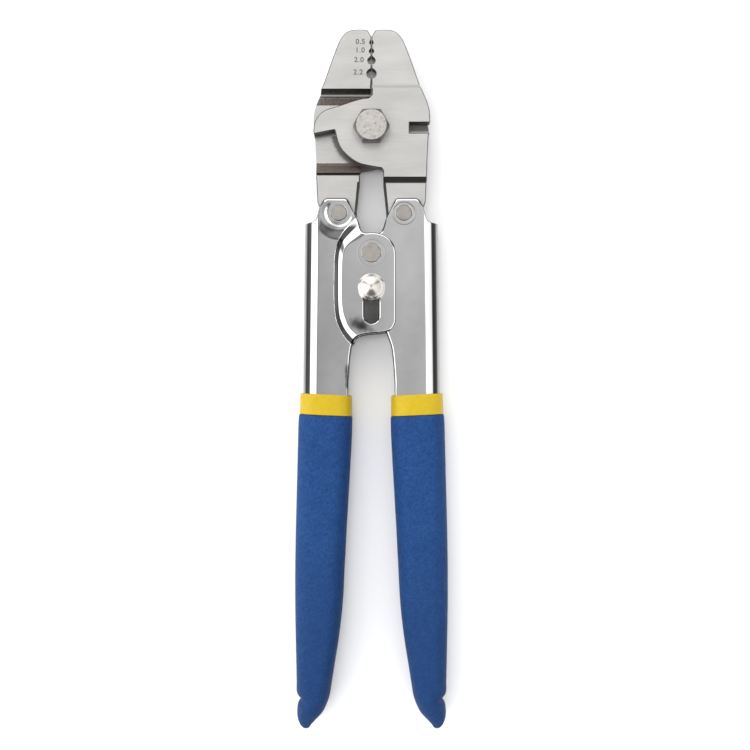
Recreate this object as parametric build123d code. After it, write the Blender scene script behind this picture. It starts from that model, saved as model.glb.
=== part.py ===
from build123d import *
import os
from math import sin, cos, atan2, degrees, hypot, pi

os.makedirs("parts", exist_ok=True)

# Wire-rope sleeve crimping pliers, lying flat on the back.  Millimetres.
# +Y runs from the grips to the jaw tips, +X is to the right seen from the
# front, +Z is up towards the front.  X = 0 is the parting line of the jaws
# and Z = 0 is the plane the tool lies on.

# ------------------------------------------------------------ dimensions
LENGTH = 255.0                 # tip of the jaws to the ends of the grips
TIP_Y = LENGTH / 2
MID_Z = 9.0                    # middle plane of the whole tool
GRIP_HALF = 9.0                # half thickness of the grips
HEAD_HALF = 5.2                # half thickness of the jaw heads
HUB_HALF = 4.9                 # outer face of a hub plate from the middle plane
HUB_GAP = 0.03                 # inner face of a hub plate from the middle plane
ARM_HALF = 3.75                # half thickness of the jaw arms
SHEET = 2.2                    # handle sheet
CHEEK_IN = 3.80                # inner face of a cheek from the middle plane
CHEEK_OUT = CHEEK_IN + SHEET
LOBE_IN = 6.05                 # inner face of a raised lobe
LOBE_OUT = LOBE_IN + SHEET
BEND_R = 4.6                   # outer radius of the channel bend

PIVOT = (0.0, 92.0)            # jaw pivot
ARM_PIN = (11.8, 60.8)         # jaw arm to handle ear, mirrored for the left
HANDLE_PIN = (0.0, 46.1)       # handle to handle
BOLT_R = 4.0
BOLT_AF = 11.4
BOLT_HEAD = 5.0
NUT_AF = 13.0
ARM_PIN_R = 2.8
HANDLE_PIN_R = 3.45
GRIP_LEAN = 2.6                # degrees the grip axis leans outwards
PROUD = 0.35                   # rivet ends above the sheet
RUN = 0.05                     # radial running clearance
FIT = 0.01                     # radial clearance of a fixed fit
OPEN_PIVOT = 0.10              # radial clearance of the left jaw on the bolt

LATCH_Y = 33.4                 # centre of the knob, latched
LATCH_TRAVEL = 10.0
BALL_D = 9.6
STEM_R = 2.6
SLOT_R = 2.7

DIE_GAP = 0.05                 # each die face from the parting line
LEFT_NOTCH_LOW = 91.25         # lower edge of the cutter notch in the left jaw
NESTS = [                      # centre Y, radius, Y of the pointed top
    (122.70, 0.82, 124.2),
    (119.55, 0.98, 120.9),
    (116.15, 1.52, 118.1),
    (111.45, 1.88, 113.6),
]


def zr(lo, hi):
    """Plane at height lo and the distance to hi."""
    return Plane.XY.offset(lo), hi - lo


def prism(pts, lo, hi):
    p, h = zr(lo, hi)
    return extrude(p * make_face(Polyline(*pts, close=True)), h)


def disc(x, y, r, lo, hi):
    p, h = zr(lo, hi)
    return extrude(p * Pos(x, y) * Circle(r), h)


def mirror_x(pts):
    return [(-x, y) for x, y in pts]


def smooth(pts, n=6):
    """Catmull-Rom points through pts, open."""
    out = []
    P = [pts[0]] + list(pts) + [pts[-1]]
    for i in range(1, len(P) - 2):
        p0, p1, p2, p3 = P[i - 1], P[i], P[i + 1], P[i + 2]
        for k in range(n):
            t = k / n
            out.append(tuple(
                0.5 * ((2 * p1[j]) + (-p0[j] + p2[j]) * t
                       + (2 * p0[j] - 5 * p1[j] + 4 * p2[j] - p3[j]) * t * t
                       + (-p0[j] + 3 * p1[j] - 3 * p2[j] + p3[j]) * t ** 3)
                for j in (0, 1)))
    out.append(pts[-1])
    return out


def one(shape):
    """The single solid of a result."""
    s = shape.solids()
    if len(s) != 1:
        print("   ", len(s), "solids", [round(x.volume, 2) for x in s])
    return max(s, key=lambda x: x.volume)


parts = {}

# ------------------------------------------------------------ jaw forging
# Outline of the right jaw seen from the front.  The head and the arm are
# its own side, the hub plate reaches over the other side and ends in the
# hook whose lower edge shears past the other jaw's cutter notch.
head_top = smooth([(1.35, 127.2), (4.1, 127.5), (7.4, 127.25), (9.6, 126.1),
                   (11.2, 124.1), (11.9, 122.7)], 5)
outer = [(13.8, 117.9), (17.5, 107.4), (18.5, 105.4)] + smooth(
    [(20.2, 101.5), (21.1, 98.2), (21.3, 94.6)], 4)
notch = [(21.2, 93.8), (13.8, 93.8), (13.8, 90.0), (21.0, 90.0)]
side = [(20.7, 88.6), (20.3, 80.5), (20.1, 73.9), (19.7, 65.1), (18.3, 61.5)]
arm_end = [(ARM_PIN[0] + 6.5 * cos(t * pi / 12), ARM_PIN[1] + 6.5 * sin(t * pi / 12))
           for t in range(-1, -12, -1)]
arm_in = [(5.35, 62.0), (4.35, 71.3)]
hub_low = [(4.3, 76.3)] + smooth(
    [(3.7, 77.2), (0.9, 77.7), (-2.3, 78.3), (-4.9, 79.1), (-8.0, 81.1),
     (-10.8, 83.9), (-12.3, 86.9), (-13.2, 90.7)], 4)
hook = [(-13.5, 91.1), (-20.95, 89.65)] + smooth(
    [(-21.1, 90.9), (-20.6, 93.9), (-19.1, 96.5), (-16.5, 98.4),
     (-12.3, 99.7), (-7.9, 101.2), (-4.2, 102.3), (-1.0, 102.8)], 4)
die_low = [(0.26, 104.0), (DIE_GAP, 109.0)]
die_top = [(DIE_GAP, 124.9)]

front_outline = (die_top + head_top + outer + notch + side + arm_end
                 + arm_in + hub_low + hook + die_low)
own_outline = (die_top + head_top + outer + [(21.1, 90.0)] + side + arm_end
               + arm_in + [(4.3, 80.0), (0.5, 80.0), (0.5, 104.0)] + [die_low[1]])

# Thickness of the forging along Y: the front line, then the rear line.
Z = MID_Z
front_line = [(130.0, Z + HEAD_HALF), (107.3, Z + HEAD_HALF), (106.4, Z + HUB_HALF),
              (74.1, Z + HUB_HALF), (71.9, Z + ARM_HALF), (50.0, Z + ARM_HALF)]
rear_line = [(50.0, Z - ARM_HALF), (74.7, Z - ARM_HALF), (74.9, Z - ARM_HALF + 0.5),
             (75.4, Z - ARM_HALF + 0.5), (75.6, Z - ARM_HALF + 0.1),
             (78.9, Z + HUB_GAP), (101.1, Z + HUB_GAP), (101.4, Z + 0.35),
             (104.0, Z + 0.35), (104.35, Z + HUB_GAP), (105.0, Z + HUB_GAP),
             (106.0, Z - HEAD_HALF), (130.0, Z - HEAD_HALF)]


def side_profile(pts, x0, x1):
    """Outline in Y and Z, drawn out along X."""
    f = make_face(Polyline(*[(x0, y, z) for y, z in pts], close=True))
    return extrude(f, x1 - x0, dir=(1, 0, 0))


profile = side_profile(front_line + rear_line, -30, 30)
front_half = prism(front_outline, Z + HUB_GAP, Z + 6) & profile
rear_half = prism(own_outline, Z - 6, Z + HUB_GAP) & profile
jaw = front_half + rear_half


def draft(p0, p1, z_face, z_deep, width, into):
    """Wedge that leans the wall from p0 to p1; into = +1 leans towards +X."""
    dx, dy = p1[0] - p0[0], p1[1] - p0[1]
    L = hypot(dx, dy)
    u = (dx / L, dy / L)
    nrm = (u[1] * into, -u[0] * into) if u[1] > 0 else (-u[1] * into, u[0] * into)
    e = 1.0
    q0 = (p0[0] - u[0] * e, p0[1] - u[1] * e)
    s = 1 if z_face > z_deep else -1
    tri = [(q0[0] - nrm[0] * 0.5, q0[1] - nrm[1] * 0.5, z_face + s * 0.5),
           (q0[0] - nrm[0] * 0.5, q0[1] - nrm[1] * 0.5, z_deep),
           (q0[0], q0[1], z_deep),
           (q0[0] + nrm[0] * width, q0[1] + nrm[1] * width, z_face),
           (q0[0] + nrm[0] * width, q0[1] + nrm[1] * width, z_face + s * 0.5)]
    f = make_face(Polyline(*tri, close=True))
    return extrude(f, L + 2 * e, dir=(u[0], u[1], 0))


# drafted inner walls of the arm, front and back
jaw -= draft((5.35, 61.0), (4.35, 71.3), Z + ARM_HALF, Z + 0.6, 0.95, 1) & prism(
    [(0, 50), (14, 50), (14, 72.6), (0, 72.6)], 0, 20)
jaw -= draft((5.35, 61.0), (4.35, 71.3), Z - ARM_HALF, Z - 0.6, 0.95, 1) & prism(
    [(0, 50), (14, 50), (14, 74.6), (0, 74.6)], 0, 20)

# nests, V notch at the tip
for cy, r, top in NESTS:
    d = top - cy
    a = r / d
    ty, tx = r * a, r * (1 - a * a) ** 0.5
    jaw -= disc(0, cy, r, 0, 20)
    jaw -= prism([(0, top), (tx, cy + ty), (-tx, cy + ty)], 0, 20)
jaw = one(jaw)


def inset(pts, d):
    """Outline moved by d to its inside (outside for d < 0), corner by corner."""
    area = sum(a[0] * b[1] - b[0] * a[1] for a, b in zip(pts, pts[1:] + pts[:1]))
    turn = 1 if area > 0 else -1
    out = []
    n = len(pts)
    for i in range(n):
        a, b, c = pts[i - 1], pts[i], pts[(i + 1) % n]
        u = (b[0] - a[0], b[1] - a[1])
        v = (c[0] - b[0], c[1] - b[1])
        lu, lv = hypot(*u), hypot(*v)
        n1 = (-u[1] / lu * turn, u[0] / lu * turn)
        n2 = (-v[1] / lv * turn, v[0] / lv * turn)
        mx, my = n1[0] + n2[0], n1[1] + n2[1]
        m2 = max(mx * mx + my * my, 0.8)
        out.append((b[0] + mx * 2 * d / m2, b[1] + my * 2 * d / m2))
    return out


def edge_ring(outline, z_face, up, width, y0, y1):
    """Cutter that breaks the outline's edge at z_face between y0 and y1."""
    zs, zf = z_face - up * width, z_face + up * 0.2
    k = (width + 0.2) / width
    lo = make_face(Polyline(*[(x, y, zs) for x, y in outline], close=True))
    hi = make_face(Polyline(*[(x, y, zf) for x, y in inset(outline, width * k)], close=True))
    cone = loft([lo, hi], ruled=True)
    big = prism([(-40, y0), (40, y0), (40, y1), (-40, y1)], min(zs, zf), max(zs, zf))
    return big - cone


EDGE = 0.28

for zf, up, outline, y0, y1 in (
        (Z + HEAD_HALF, 1, front_outline, 107.3, 130.0),
        (Z + HUB_HALF, 1, front_outline, 74.2, 106.4),
        (Z + ARM_HALF, 1, front_outline, 50.0, 71.8),
        (Z - HEAD_HALF, -1, own_outline, 106.2, 130.0),
        (Z - ARM_HALF, -1, own_outline, 50.0, 74.6)):
    cut = jaw - edge_ring(outline, zf, up, EDGE, y0, y1)
    pieces = cut.solids()
    best = max(pieces, key=lambda q: q.volume)
    print("    edge", round(zf, 2), len(pieces), round(jaw.volume - best.volume, 2), best.is_valid)
    jaw = best

right_jaw = one(jaw - disc(*PIVOT, BOLT_R + FIT, 0, 20)
                - disc(*ARM_PIN, ARM_PIN_R + RUN, 0, 20))
turned = Pos(0, 0, Z) * Rot(0, 180, 0) * Pos(0, 0, -Z) * jaw
# the left jaw's notch starts higher, so that the closed hook covers it
turned += prism([(-13.7, 89.6), (-20.98, 89.6), (-21.06, LEFT_NOTCH_LOW),
                 (-13.7, LEFT_NOTCH_LOW)], Z - HUB_HALF, Z - HUB_GAP)
left_jaw = one(turned - disc(*PIVOT, BOLT_R + OPEN_PIVOT, 0, 20)
               - disc(-ARM_PIN[0], ARM_PIN[1], ARM_PIN_R + RUN, 0, 20))
parts["right_jaw"] = right_jaw
parts["left_jaw"] = left_jaw


# ------------------------------------------------------------ pivot bolt
def hexagon(af, lo, hi, x, y, turn=0.0, bore=None, bevel=(True, True)):
    """Hexagonal prism with flats facing +Y and -Y and turned-off corners."""
    ac = af / cos(pi / 6)
    p, h = zr(lo, hi)
    s = extrude(p * Pos(x, y) * RegularPolygon(ac / 2, 6, rotation=turn), h)
    rr = ac / 2 * 0.93
    rise = (ac / 2 + 0.6 - rr) * 0.55
    env = Pos(x, y, lo) * Cylinder(ac / 2 + 0.6, h, align=(Align.CENTER, Align.CENTER, Align.MIN))
    if bevel[1]:
        env = chamfer(env.edges().filter_by(GeomType.CIRCLE).sort_by(Axis.Z)[-1],
                      rise, ac / 2 + 0.6 - rr)
    if bevel[0]:
        env = chamfer(env.edges().filter_by(GeomType.CIRCLE).sort_by(Axis.Z)[0],
                      rise, ac / 2 + 0.6 - rr)
    s = s & env
    if bore:
        s -= disc(x, y, bore, lo - 1, hi + 1)
    return s


HUB_FRONT = Z + HUB_HALF
HUB_REAR = Z - HUB_HALF
NUT_LO, NUT_HI = 0.0, 3.3
WASH_LO, WASH_HI = NUT_HI + 0.02, HUB_REAR - 0.02
head = hexagon(BOLT_AF, HUB_FRONT + 0.01, HUB_FRONT + BOLT_HEAD, *PIVOT, bevel=(False, True))
shank = Pos(*PIVOT, 0.15) * Cylinder(BOLT_R, HUB_FRONT + 1 - 0.15,
                                     align=(Align.CENTER, Align.CENTER, Align.MIN))
shank = chamfer(shank.edges().filter_by(GeomType.CIRCLE).sort_by(Axis.Z)[0], 0.5)
parts["pivot_bolt"] = one(head + shank)
parts["pivot_nut"] = one(hexagon(NUT_AF, NUT_LO, NUT_HI, *PIVOT, bore=BOLT_R + 0.02))
washer = disc(*PIVOT, 6.4, WASH_LO, WASH_HI) - disc(*PIVOT, BOLT_R + 0.05, 0, 20)
split = Pos(PIVOT[0], PIVOT[1] + 5.4, 3.7) * Rot(0, 0, 20) * Box(0.7, 5.0, 3.0)
parts["pivot_lock_washer"] = one(washer - split)

# ------------------------------------------------------------ handles
ear = [(8.8, 66.4), (16.5, 66.4), (17.7, 65.4), (18.6, 63.6), (20.0, 59.0), (20.6, 58.2),
       (24.4, 57.3)]
web_line = [(24.4, 57.3), (25.1, -4.3), (26.2, -70.0), (25.6, -104.0)]
core_end = [(25.0, -107.0), (23.5, -108.0), (18.0, -108.0), (16.2, -107.0)]
inner_grip = [(15.4, -104.0), (11.6, -66.0), (9.2, -14.0), (8.6, -5.4)]
ear_inner = [(3.7, 54.1), (4.3, 55.6), (5.0, 57.9), (7.2, 62.7)]

# right handle: inner lobe round the centre rivet, cut back below it so that
# the latch's washers have room
lobe_r = 6.5
a0 = atan2(41.95 - 46.1, 5.0)
a1 = atan2(6.40, 1.14) - 2 * pi
arc = [(HANDLE_PIN[0] + lobe_r * cos(a0 + (a1 - a0) * k / 20),
        HANDLE_PIN[1] + lobe_r * sin(a0 + (a1 - a0) * k / 20)) for k in range(21)]
right_in = smooth([(8.4, 0.0), (7.9, 7.0), (7.3, 11.8), (6.2, 15.4), (5.1, 18.4)], 4) + [
    (5.0, 19.5)] + arc
right_outline = ear + web_line[1:] + core_end + inner_grip + right_in + ear_inner

# left handle: the lobe reaches over to the right
lobe_edge = ([(-8.6, -5.4)] + smooth([(-8.4, 0.0), (-7.9, 7.0), (-7.3, 11.8), (-6.4, 14.4),
                                      (-4.6, 16.0), (-2.0, 16.7)], 4)
             + smooth([(1.0, 17.0), (5.2, 17.5), (7.5, 18.6), (8.8, 21.2), (8.9, 24.0)], 4)
             + smooth([(8.9, 43.5), (8.8, 46.4), (8.1, 49.0), (6.0, 51.7), (3.2, 53.1),
                       (0.4, 53.5), (-2.2, 53.4)], 4))
left_outline = (mirror_x(ear + web_line[1:] + core_end + inner_grip[:-1]) + lobe_edge
                + mirror_x(ear_inner))


def channel(outline, sgn):
    """Pressed channel: two cheeks and the bent web along the outer side."""
    web = [(sgn * x, y) for x, y in web_line]
    lo, hi = Z - CHEEK_OUT, Z + CHEEK_OUT
    body = prism(outline, lo, hi)
    # rounded outer envelope, run by run along the web
    env_pts = [(web[0][0], 80.0)] + web + [(web[-1][0], -120.0)]
    keep = prism([(-sgn * 20, 80.0)] + env_pts + [(-sgn * 20, -120.0)], lo, hi)
    keep = rounded(keep, env_pts, sgn, BEND_R)
    cav_pts = [(x - sgn * SHEET, y) for x, y in env_pts]
    cav = prism([(-sgn * 20, 80.0)] + cav_pts + [(-sgn * 20, -120.0)],
                Z - CHEEK_IN, Z + CHEEK_IN)
    cav = rounded(cav, cav_pts, sgn, BEND_R - SHEET)
    return body & keep, cav


def rounded(block, pts, sgn, r):
    edges = []
    for e in block.edges().filter_by(GeomType.LINE):
        a, b = e.position_at(0), e.position_at(1)
        if abs(a.Z - b.Z) > 1e-6:
            continue
        mx, my = (a.X + b.X) / 2, (a.Y + b.Y) / 2
        for p, q in zip(pts, pts[1:]):
            if abs((p[0] + q[0]) / 2 - mx) < 1e-3 and abs((p[1] + q[1]) / 2 - my) < 1e-3:
                edges.append(e)
    return fillet(edges, r)


# raised area of the left lobes: outer foot line A and top line B of the joggle
JOG_A = [(14, 64), (-2.0, 62.0), (-5.0, 58.6), (-9.85, 52.9), (-12.5, 49.6), (-13.8, 44.7),
         (-13.8, 24.0), (-13.0, 20.5), (-11.0, 16.6), (-7.6, 13.0), (-3.0, 9.0), (14, 9.0)]
JOG_B = [(14, 58), (1.5, 57.6), (-2.7, 53.2), (-6.3, 50.3), (-9.4, 48.2), (-10.2, 44.5),
         (-10.1, 27.0), (-9.2, 22.8), (-7.4, 19.3), (-5.0, 17.0), (-1.0, 13.0), (14, 12)]


def frustum(z0, z1):
    lo = make_face(Polyline(*[(x, y, z0) for x, y in JOG_A], close=True))
    hi = make_face(Polyline(*[(x, y, z1) for x, y in JOG_B], close=True))
    return loft([lo, hi], ruled=True)


def raised(outline, up):
    """One raised lobe: the front one for up = +1."""
    c_in, c_out = Z + up * CHEEK_IN, Z + up * CHEEK_OUT
    l_in, l_out = Z + up * LOBE_IN, Z + up * LOBE_OUT
    block = prism(JOG_A, min(c_in, c_out), max(c_in, c_out)) + frustum(c_out, l_out)
    block -= frustum(c_in - up * 0.0, l_in)
    return block & prism(outline, min(c_in, l_out) - 1, max(c_in, l_out) + 1)


# left handle
lh, cav = channel(left_outline, -1)
lh = lh - cav
lh = lh - prism(JOG_A, Z - CHEEK_OUT - 1, Z + CHEEK_OUT + 1)
lh = lh + raised(left_outline, 1) + raised(left_outline, -1)
lh -= disc(*HANDLE_PIN, HANDLE_PIN_R + FIT, -1, 20)
lh -= disc(-ARM_PIN[0], ARM_PIN[1], ARM_PIN_R + FIT, -1, 20)
slot_lo, slot_hi = LATCH_Y - LATCH_TRAVEL, LATCH_Y
slot = prism([(-SLOT_R, slot_lo), (SLOT_R, slot_lo), (SLOT_R, slot_hi), (-SLOT_R, slot_hi)],
             Z + 4, 20)
slot += disc(0, slot_lo, SLOT_R, Z + 4, 20) + disc(0, slot_hi, SLOT_R, Z + 4, 20)
lh -= slot
left_handle = one(lh)
parts["left_handle"] = left_handle

# right handle
rh, cav = channel(right_outline, 1)
rh = rh - cav
rh -= disc(*HANDLE_PIN, HANDLE_PIN_R + RUN, -1, 20)
rh -= disc(*ARM_PIN, ARM_PIN_R + FIT, -1, 20)
right_handle = one(rh)
parts["right_handle"] = right_handle


# ------------------------------------------------------------ rivets
def rivet(x, y, r, lo, hi):
    s = Pos(x, y, lo) * Cylinder(r, hi - lo, align=(Align.CENTER, Align.CENTER, Align.MIN))
    return chamfer(s.edges().filter_by(GeomType.CIRCLE), 0.22)


parts["left_jaw_pin"] = rivet(-ARM_PIN[0], ARM_PIN[1], ARM_PIN_R,
                              Z - CHEEK_OUT - PROUD, Z + CHEEK_OUT + PROUD)
parts["right_jaw_pin"] = rivet(*ARM_PIN, ARM_PIN_R, Z - CHEEK_OUT - PROUD, Z + CHEEK_OUT + PROUD)
parts["handle_pin"] = rivet(*HANDLE_PIN, HANDLE_PIN_R, Z - LOBE_OUT - PROUD, Z + LOBE_OUT + PROUD)

# spacer bush between the right handle's cheeks
parts["spacer_bush"] = one(disc(*HANDLE_PIN, 4.4, Z - CHEEK_IN + 0.05, Z + CHEEK_IN - 0.05)
                           - disc(*HANDLE_PIN, HANDLE_PIN_R + FIT, 0, 20))

# ------------------------------------------------------------ return spring
# torsion spring: a short coil round the bush and a leg into each channel
WIRE = 1.6
COIL_R = 5.6
coil = None
for k in range(4):
    t = Pos(*HANDLE_PIN, Z - 2.25 + 1.5 * k) * Torus(COIL_R, WIRE / 2)
    coil = t if coil is None else coil + t


def rod(p, q, r):
    d = Vector(*q) - Vector(*p)
    pl = Plane(origin=p, z_dir=d)
    return extrude(pl * Circle(r), d.length)


leg_l = [(-COIL_R, 46.1, Z - 2.25), (-9.5, 36.0, Z - 2.25), (-20.6, 24.0, Z - 2.25)]
leg_r = [(COIL_R, 46.1, Z + 2.25), (9.5, 36.0, Z + 2.25), (20.6, 24.0, Z + 2.25)]
spring = coil
for leg in (leg_l, leg_r):
    spring += rod(leg[0], leg[1], WIRE / 2 - 0.02)
    spring += Pos(*leg[1]) * Sphere(WIRE / 2 - 0.01)
    spring += rod(leg[1], leg[2], WIRE / 2 - 0.02)
parts["return_spring"] = one(spring)

# ------------------------------------------------------------ latch
top = Z + LOBE_OUT
ball_z = top + 1.35 + BALL_D / 2 - 0.75
knob = Pos(0, LATCH_Y, ball_z) * Sphere(BALL_D / 2)
knob -= Pos(0, LATCH_Y, top + 0.85 - 5) * Box(20, 20, 10)
knob += disc(0, LATCH_Y, STEM_R, Z + 3.7, ball_z)
parts["latch_knob"] = one(knob)
wave = disc(0, LATCH_Y, 4.0, top + 0.02, top + 0.82) - disc(0, LATCH_Y, STEM_R + FIT, 0, 40)
parts["latch_wave_washer"] = one(wave)
under = Z + LOBE_IN
parts["latch_washer"] = one(disc(0, LATCH_Y, 4.2, under - 0.84, under - 0.04)
                            - disc(0, LATCH_Y, STEM_R + FIT, 0, 40))
parts["latch_retainer"] = one(disc(0, LATCH_Y, 3.8, under - 2.0, under - 0.86)
                              - disc(0, LATCH_Y, STEM_R + FIT, 0, 40))

# ------------------------------------------------------------ grips
# Sections of the right grip along Y: inner X, outer X, half thickness.
SECTIONS = [
    (-12.55, 7.05, 26.50, 8.85),
    (-14.5, 7.05, 26.65, 9.0),
    (-24.1, 7.40, 26.95, 9.0),
    (-38.4, 8.20, 27.30, 9.0),
    (-52.0, 9.00, 27.65, 9.0),
    (-66.4, 9.75, 27.95, 9.0),
    (-83.1, 10.70, 27.95, 9.0),
    (-95.0, 12.10, 27.70, 9.0),
    (-104.5, 13.60, 27.50, 9.0),
    (-111.5, 14.70, 27.35, 9.0),
    (-115.4, 15.35, 27.30, 8.7),
    (-118.8, 16.55, 27.15, 8.0),
    (-121.4, 17.90, 27.00, 7.0),
    (-123.0, 19.40, 26.65, 6.0),
    (-124.6, 21.20, 25.95, 4.7),
    (-125.8, 22.30, 25.20, 3.4),
    (-126.7, 22.90, 24.60, 2.3),
    (-127.2, 23.20, 24.30, 1.5),
    (-TIP_Y, 23.50, 24.00, 0.7),
]


def smooth_row(rows, t):
    """Hermite between rows 1 and 2, on uneven spacing in Y."""
    r0, r1, r2, r3 = rows
    out = [r1[0] + (r2[0] - r1[0]) * t]
    for j in (1, 2, 3):
        d1 = (r2[j] - r0[j]) / ((r2[0] - r0[0]) or 1) * (r2[0] - r1[0])
        d2 = (r3[j] - r1[j]) / ((r3[0] - r1[0]) or 1) * (r2[0] - r1[0])
        h00, h10 = 2 * t ** 3 - 3 * t * t + 1, t ** 3 - 2 * t * t + t
        h01, h11 = -2 * t ** 3 + 3 * t * t, t ** 3 - t * t
        out.append(h00 * r1[j] + h10 * d1 + h01 * r2[j] + h11 * d2)
    return tuple(out)


def sections(table):
    """Rounded sections square to the leaning axis of the grip."""
    out = []
    for y, xi, xo, h in table:
        w = xo - xi
        hh = 2 * min(h, GRIP_HALF)
        r = min(w, hh) * 0.36
        lean = GRIP_LEAN * min(1.0, max(0.0, (y + 104.5) / 15.0)) * pi / 180
        pl = Plane(origin=((xi + xo) / 2, y, Z), x_dir=(cos(lean), sin(lean), 0),
                   z_dir=(sin(lean), -cos(lean), 0))
        out.append(pl * RectangleRounded(w, hh, r))
    return out


fine = []
for k in range(len(SECTIONS) - 1):
    rows = [SECTIONS[max(k - 1, 0)], SECTIONS[k], SECTIONS[k + 1],
            SECTIONS[min(k + 2, len(SECTIONS) - 1)]]
    steps = 1 if SECTIONS[k][0] - SECTIONS[k + 1][0] < 5 else 2
    for m in range(steps):
        fine.append(smooth_row(rows, m / steps))
fine.append(SECTIONS[-1])
grip = loft(sections(fine), ruled=True)
# pinch near the end, on the outer side
grip -= Pos(28.25, -116.4, Z) * Cylinder(2.6, 30)
G = 0.02
core_all = web_line[1:] + core_end + inner_grip
pocket = prism([(x + (G if x > 17 else -G), y - (G if y < -100 else 0.0))
                for x, y in [(25.1, 0.0)] + core_all + [(8.4, 0.0)]],
               Z - CHEEK_OUT - G, Z + CHEEK_OUT + G)
env_pts = [(x + G, y) for x, y in [(web_line[0][0], 80.0)] + web_line + [(web_line[-1][0], -120.0)]]
pocket &= rounded(prism([(-20, 80.0)] + env_pts + [(-20, -120.0)],
                        Z - CHEEK_OUT - G, Z + CHEEK_OUT + G), env_pts, 1, BEND_R)
grip = one(grip - pocket)

COLLAR = [(-5.1, 7.45, 25.95, 8.35), (-5.6, 7.25, 26.15, 8.6), (-11.9, 7.15, 26.30, 8.6),
          (-12.53, 7.15, 26.30, 8.5)]
collar = one(loft(sections(COLLAR), ruled=True) - pocket)
parts["right_grip"] = grip
parts["right_grip_collar"] = collar
parts["left_grip"] = mirror(grip, Plane.YZ)
parts["left_grip_collar"] = mirror(collar, Plane.YZ)

# ------------------------------------------------------------ write
for name, shape in parts.items():
    s = one(shape)
    s.label = name
    print(name, "volume", round(s.volume, 1), "valid", s.is_valid)
    export_step(s, f"parts/{name}.step")
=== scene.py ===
import math
import bpy
import numpy as np
from mathutils import Matrix, Vector
from mathutils.geometry import delaunay_2d_cdt


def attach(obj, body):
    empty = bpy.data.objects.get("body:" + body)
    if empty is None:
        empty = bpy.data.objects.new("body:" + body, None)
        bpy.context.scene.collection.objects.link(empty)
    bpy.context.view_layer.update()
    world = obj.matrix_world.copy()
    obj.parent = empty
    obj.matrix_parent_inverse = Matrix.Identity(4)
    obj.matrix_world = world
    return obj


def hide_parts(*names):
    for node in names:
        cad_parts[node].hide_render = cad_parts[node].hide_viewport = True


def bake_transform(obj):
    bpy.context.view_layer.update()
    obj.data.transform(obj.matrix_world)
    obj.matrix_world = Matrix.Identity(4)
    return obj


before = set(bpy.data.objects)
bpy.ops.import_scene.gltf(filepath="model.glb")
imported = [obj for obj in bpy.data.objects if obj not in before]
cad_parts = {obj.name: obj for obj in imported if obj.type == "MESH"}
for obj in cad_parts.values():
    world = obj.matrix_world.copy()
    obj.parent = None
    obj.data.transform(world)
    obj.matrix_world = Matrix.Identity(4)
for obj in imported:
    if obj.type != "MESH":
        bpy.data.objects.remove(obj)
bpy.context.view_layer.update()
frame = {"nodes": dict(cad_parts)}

MM = 0.001
Z = 9.0
D = bpy.data
scene = bpy.context.scene


# =====================================================================
# node helper
# =====================================================================
class Nodes:
    """Small wrapper: make nodes, set inputs, link."""

    def __init__(self, tree):
        self.t = tree
        tree.nodes.clear()

    def n(self, kind, props=None, **inputs):
        node = self.t.nodes.new(kind)
        for k, v in (props or {}).items():
            setattr(node, k, v)
        for k, v in inputs.items():
            key = k.replace("__", " ")
            if key.isdigit():
                key = int(key)
            self.put(node.inputs[key], v)
        return node

    def put(self, socket, v):
        if isinstance(v, bpy.types.NodeSocket):
            self.t.links.new(v, socket)
        elif isinstance(v, bpy.types.Node):
            self.t.links.new(v.outputs[0], socket)
        else:
            socket.default_value = v

    def math(self, op, a, b=0.0, c=0.0, clamp=False):
        node = self.t.nodes.new("ShaderNodeMath")
        node.operation = op
        node.use_clamp = clamp
        for i, v in enumerate((a, b, c)):
            self.put(node.inputs[i], v)
        return node.outputs[0]

    def ramp(self, fac, stops, interp="LINEAR"):
        node = self.t.nodes.new("ShaderNodeValToRGB")
        node.color_ramp.interpolation = interp
        els = node.color_ramp.elements
        while len(els) > 1:
            els.remove(els[-1])
        for i, (p, c) in enumerate(stops):
            e = els[0] if i == 0 else els.new(p)
            e.position = p
            if isinstance(c, (int, float)):
                c = (c, c, c)
            e.color = (c[0], c[1], c[2], 1.0)
        self.put(node.inputs[0], fac)
        return node.outputs[0]

    def mix(self, fac, a, b, mode="MIX"):
        node = self.t.nodes.new("ShaderNodeMix")
        node.data_type = "RGBA"
        node.blend_type = mode
        self.put(node.inputs[0], fac)
        self.put(node.inputs[6], a if not isinstance(a, tuple) else (*a[:3], 1.0))
        self.put(node.inputs[7], b if not isinstance(b, tuple) else (*b[:3], 1.0))
        return node.outputs[2]

    def remap(self, v, a, b, c, d, smooth=False):
        node = self.t.nodes.new("ShaderNodeMapRange")
        node.interpolation_type = "SMOOTHSTEP" if smooth else "LINEAR"
        for i, x in enumerate((v, a, b, c, d)):
            self.put(node.inputs[i], x)
        return node.outputs[0]

    def noise(self, vec, scale, detail=3.0, rough=0.5, dist=0.0):
        node = self.t.nodes.new("ShaderNodeTexNoise")
        self.put(node.inputs["Vector"], vec)
        self.put(node.inputs["Scale"], scale)
        self.put(node.inputs["Detail"], detail)
        self.put(node.inputs["Roughness"], rough)
        self.put(node.inputs["Distortion"], dist)
        return node.outputs[0]

    def stretch(self, vec, sx, sy, sz, rot=0.0):
        node = self.t.nodes.new("ShaderNodeMapping")
        self.put(node.inputs["Vector"], vec)
        node.inputs["Scale"].default_value = (sx, sy, sz)
        node.inputs["Rotation"].default_value = (0, 0, rot)
        return node.outputs[0]

    def bump(self, height, dist, strength=1.0, normal=None):
        node = self.t.nodes.new("ShaderNodeBump")
        self.put(node.inputs["Height"], height)
        node.inputs["Distance"].default_value = dist
        node.inputs["Strength"].default_value = strength
        if normal is not None:
            self.put(node.inputs["Normal"], normal)
        return node.outputs[0]


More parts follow.
